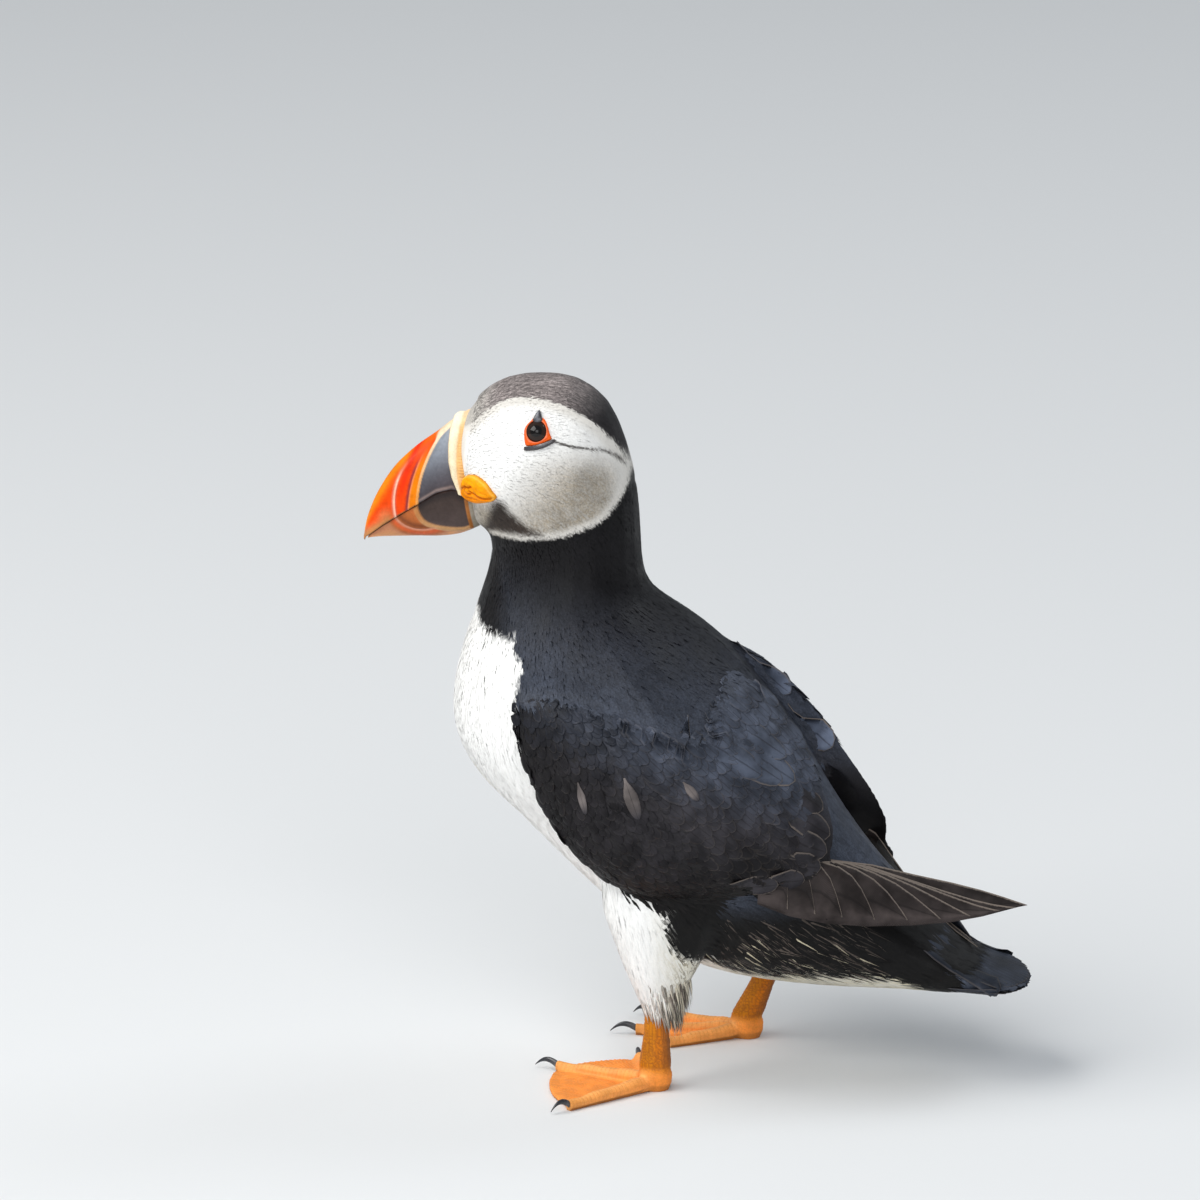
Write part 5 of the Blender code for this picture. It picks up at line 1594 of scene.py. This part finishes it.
for side, word in SIDES.items():
    place = face_patch(side, -60.9, 170.9, 0.0, 4.0)

    def folds(offsets):
        return sum(depth * bell(line_distance(offsets, *line), width) for line, depth, width in CREASES)

    def cushion(share, offsets):
        full = 1.95 * np.clip(1 - share**3.0, 0, 1) ** 0.55 + 0.15
        back, up = offsets[..., 0], offsets[..., 1]
        wrinkle = 0.06 * np.sin(3.6 * back + 5.2 * up + 2 * np.sin(1.7 * back))
        return full - folds(offsets) * np.clip(1.3 - share, 0, 1) + wrinkle

    rosette, share, offsets = dome("mouth_rosette_" + word, place, ROSETTE, cushion, 44, 180)
    depth = np.clip(folds(offsets), 0, 1)
    tint = layered((0.86, 0.29, 0.0), ((0.90, 0.36, 0.0), smooth(0.2, 2.2, offsets[:, 1]) * 0.8),
                   ((0.80, 0.19, 0.0), smooth(-0.5, -2.5, offsets[:, 1]) * 0.45),
                   # partly painted shade: the creases are a deep orange-red, their own colour made darker as shade in
                   # the folds
                   ((0.52, 0.12, 0.0), smooth(0.2, 0.9, depth) * 0.85),
                   ((0.97, 0.58, 0.10), bell(share - 0.93, 0.05) * 0.5),
                   ((0.50, 0.20, 0.02), smooth(0.97, 1.0, share) * 0.6))
    dress(rosette, flesh_finish, "rosette_skin", "rosette_" + word, tint=tint)

# %% [markdown]
# ## Legs and feet
# Each shank and foot are joined, swollen, remeshed and smoothed into one soft form with flat soles.
# Relief is then pressed in: small bead-like scales on the shank, cross plates along the toes and fine
# folds that run out over the webs from the ball of the foot.

# %% Legs
BALL = {LEFT: (26.0, -9.4), RIGHT: (-27.0, 10.0)}
TOE_HEADINGS = {LEFT: (48.0, -22.0, -72.0), RIGHT: (24.0, -5.0, -34.0)}
TOE_NAMES, TOE_LENGTHS, CLAW_LENGTHS = ("outer", "middle", "inner"), (32.0, 32.0, 25.0), (6.0, 7.0, 5.0)
LEG_VOXEL, LEG_SWELL, SCALE_SIZE, SCUTE = 0.30, 0.25, 0.95, 1.3
CLAW_ROWS, CLAW_CORNERS, CLAW_ROOT = 24, 20, -0.28  # a claw starts a little inside its toe
for side, word in SIDES.items():
    leg = copy_nodes("leg_" + word, "tarsus_" + word, "foot_" + word)
    edit(leg, lambda: bpy.ops.transform.shrink_fatten(value=LEG_SWELL * MM))
    apply_modifier(leg, "REMESH", mode="VOXEL", voxel_size=LEG_VOXEL * MM)
    apply_modifier(leg, "SMOOTH", factor=0.5, iterations=8)
    bpy.ops.object.shade_smooth()
    points = coordinates(leg)
    out = normals(leg)
    points -= out * (LEG_SWELL * 0.8)
    from_ball = points[:, :2] - BALL[side]
    reach = np.hypot(*from_ball.T)
    angle = np.degrees(np.arctan2(side * from_ball[:, 0], -from_ball[:, 1]))
    apart = np.stack([angle - heading for heading in TOE_HEADINGS[side]])
    apart = np.radians((apart + 180) % 360 - 180)
    lateral = np.where(np.cos(apart) > 0, np.abs(np.sin(apart)) * reach, 99)
    own = lateral.argmin(0)
    lateral, along = lateral.min(0), reach * np.cos(apart[own, np.arange(len(own))])
    low = 1 - smooth(4.5, 7.5, points[:, 2])
    on_toe = bell(lateral, 2.3) * smooth(2, 5, reach) * low
    on_web = smooth(1.6, 3.0, lateral) * smooth(4, 8, reach) * low
    cells = np.floor(points / SCALE_SIZE).astype(int)
    _, picked = np.unique(cells, axis=0, return_index=True)
    seeds = KDTree(len(picked))
    for number, spot in enumerate(points[picked]):
        seeds.insert(spot, number)
    seeds.balance()
    nearest = [seeds.find_n(spot, 2) for spot in points]
    rim = np.array([pair[1][2] - pair[0][2] for pair in nearest])
    scale_groove = (1 - smooth(0.0, 0.34, rim)) * (1 - on_toe) * (1 - on_web)
    scute = np.abs(np.sin(np.pi * along / SCUTE))
    scute_groove = (1 - smooth(0.0, 0.45, scute)) * on_toe * (out[:, 2] > -0.2)
    fold = np.sin(math.tau * angle / 3.1 + 1.6 * np.sin(reach * 0.55) + 0.9 * np.sin(reach * 1.7))
    fold += 0.6 * np.sin(math.tau * angle / 1.7 + 2.0 * np.sin(reach * 0.4))
    fold *= on_web * smooth(5, 14, reach)
    sag = -0.30 * np.sin(np.clip(lateral / 5, 0, 1) * np.pi) * on_web * (out[:, 2] > 0.3)
    points += out * (-0.11 * scale_groove - 0.13 * scute_groove + 0.07 * fold + sag)[:, None]
    sole = points[:, 2] < 0.55
    points[sole, 2] = np.clip((points[sole, 2] - 0.25) / 0.30, 0, 1) * 0.55
    move(leg, points)
    rear = smooth(0.2, 0.8, out[:, 1]) * smooth(5, 9, points[:, 2])
    rearward = smooth(-0.35, 0.35, out[:, 1]) * smooth(5, 9, points[:, 2])
    shank = layered((0.62, 0.17, 0.003), ((0.50, 0.19, 0.004), 0.7 * (1 - rearward)),
                    ((0.26, 0.095, 0.030), 0.75 * rear), ((0.30, 0.085, 0.010), 0.75 * scale_groove))
    web = layered((0.92, 0.29, 0.045), ((0.78, 0.16, 0.025), 0.45 * smooth(0.1, 1.4, fold)),
                  ((0.93, 0.42, 0.14), 0.6 * smooth(-0.1, -1.4, fold)),
                  ((0.92, 0.43, 0.13), on_toe * 0.9), ((0.70, 0.17, 0.02), 0.65 * scute_groove),
                  ((0.75, 0.30, 0.06), smooth(24, 33, reach) * 0.4))
    tint = over(shank, web, low * smooth(1, 5, reach))
    tint = layered(tint, ((0.45, 0.16, 0.03), smooth(0.0, -0.7, out[:, 2]) * low))
    dress(leg, leg_finish, "leg_skin", "tarsus_" + word, "foot_" + word, tint=tint)

    turn = np.linspace(0, math.tau, CLAW_CORNERS + 1)[:-1]
    along_claw = np.linspace(CLAW_ROOT, 1, CLAW_ROWS)
    toes = zip(TOE_NAMES, np.radians(TOE_HEADINGS[side]), TOE_LENGTHS, CLAW_LENGTHS)
    for name, heading, length, claw_length in toes:
        ahead = np.array((side * math.sin(heading), -math.cos(heading), 0))
        wide = np.array((-ahead[1], ahead[0], 0))
        rings = []
        for t in along_claw:
            radius = 1.05 * (1 - max(t, 0)) ** 0.75 + 0.12 + 0.25 * min(t, 0)
            rise = 2.1 + 1.3 * math.sin(math.pi * 0.9 * t) - 1.6 * t**2
            centre = np.array((*BALL[side], rise)) + ahead * (length + 0.35 + claw_length * t)
            ring = wide * (radius * 0.72 * np.cos(turn))[:, None]
            ring[:, 2] += radius * np.where(np.sin(turn) > 0, np.sin(turn), 0.8 * np.sin(turn))
            rings.append(centre + ring)
        nail = grid_piece(f"nail_{word}_{name}", np.array(rings))
        share = np.repeat(along_claw, CLAW_CORNERS)
        tint = layered((0.018, 0.019, 0.024), ((0.10, 0.095, 0.10), smooth(0.35, 0.0, share) * 0.6),
                       ((0.075, 0.07, 0.07), smooth(0.7, 1.0, share) * 0.5))
        dress(nail, claw_finish, "claw_horn", f"claw_{word}_{name}", tint=tint)
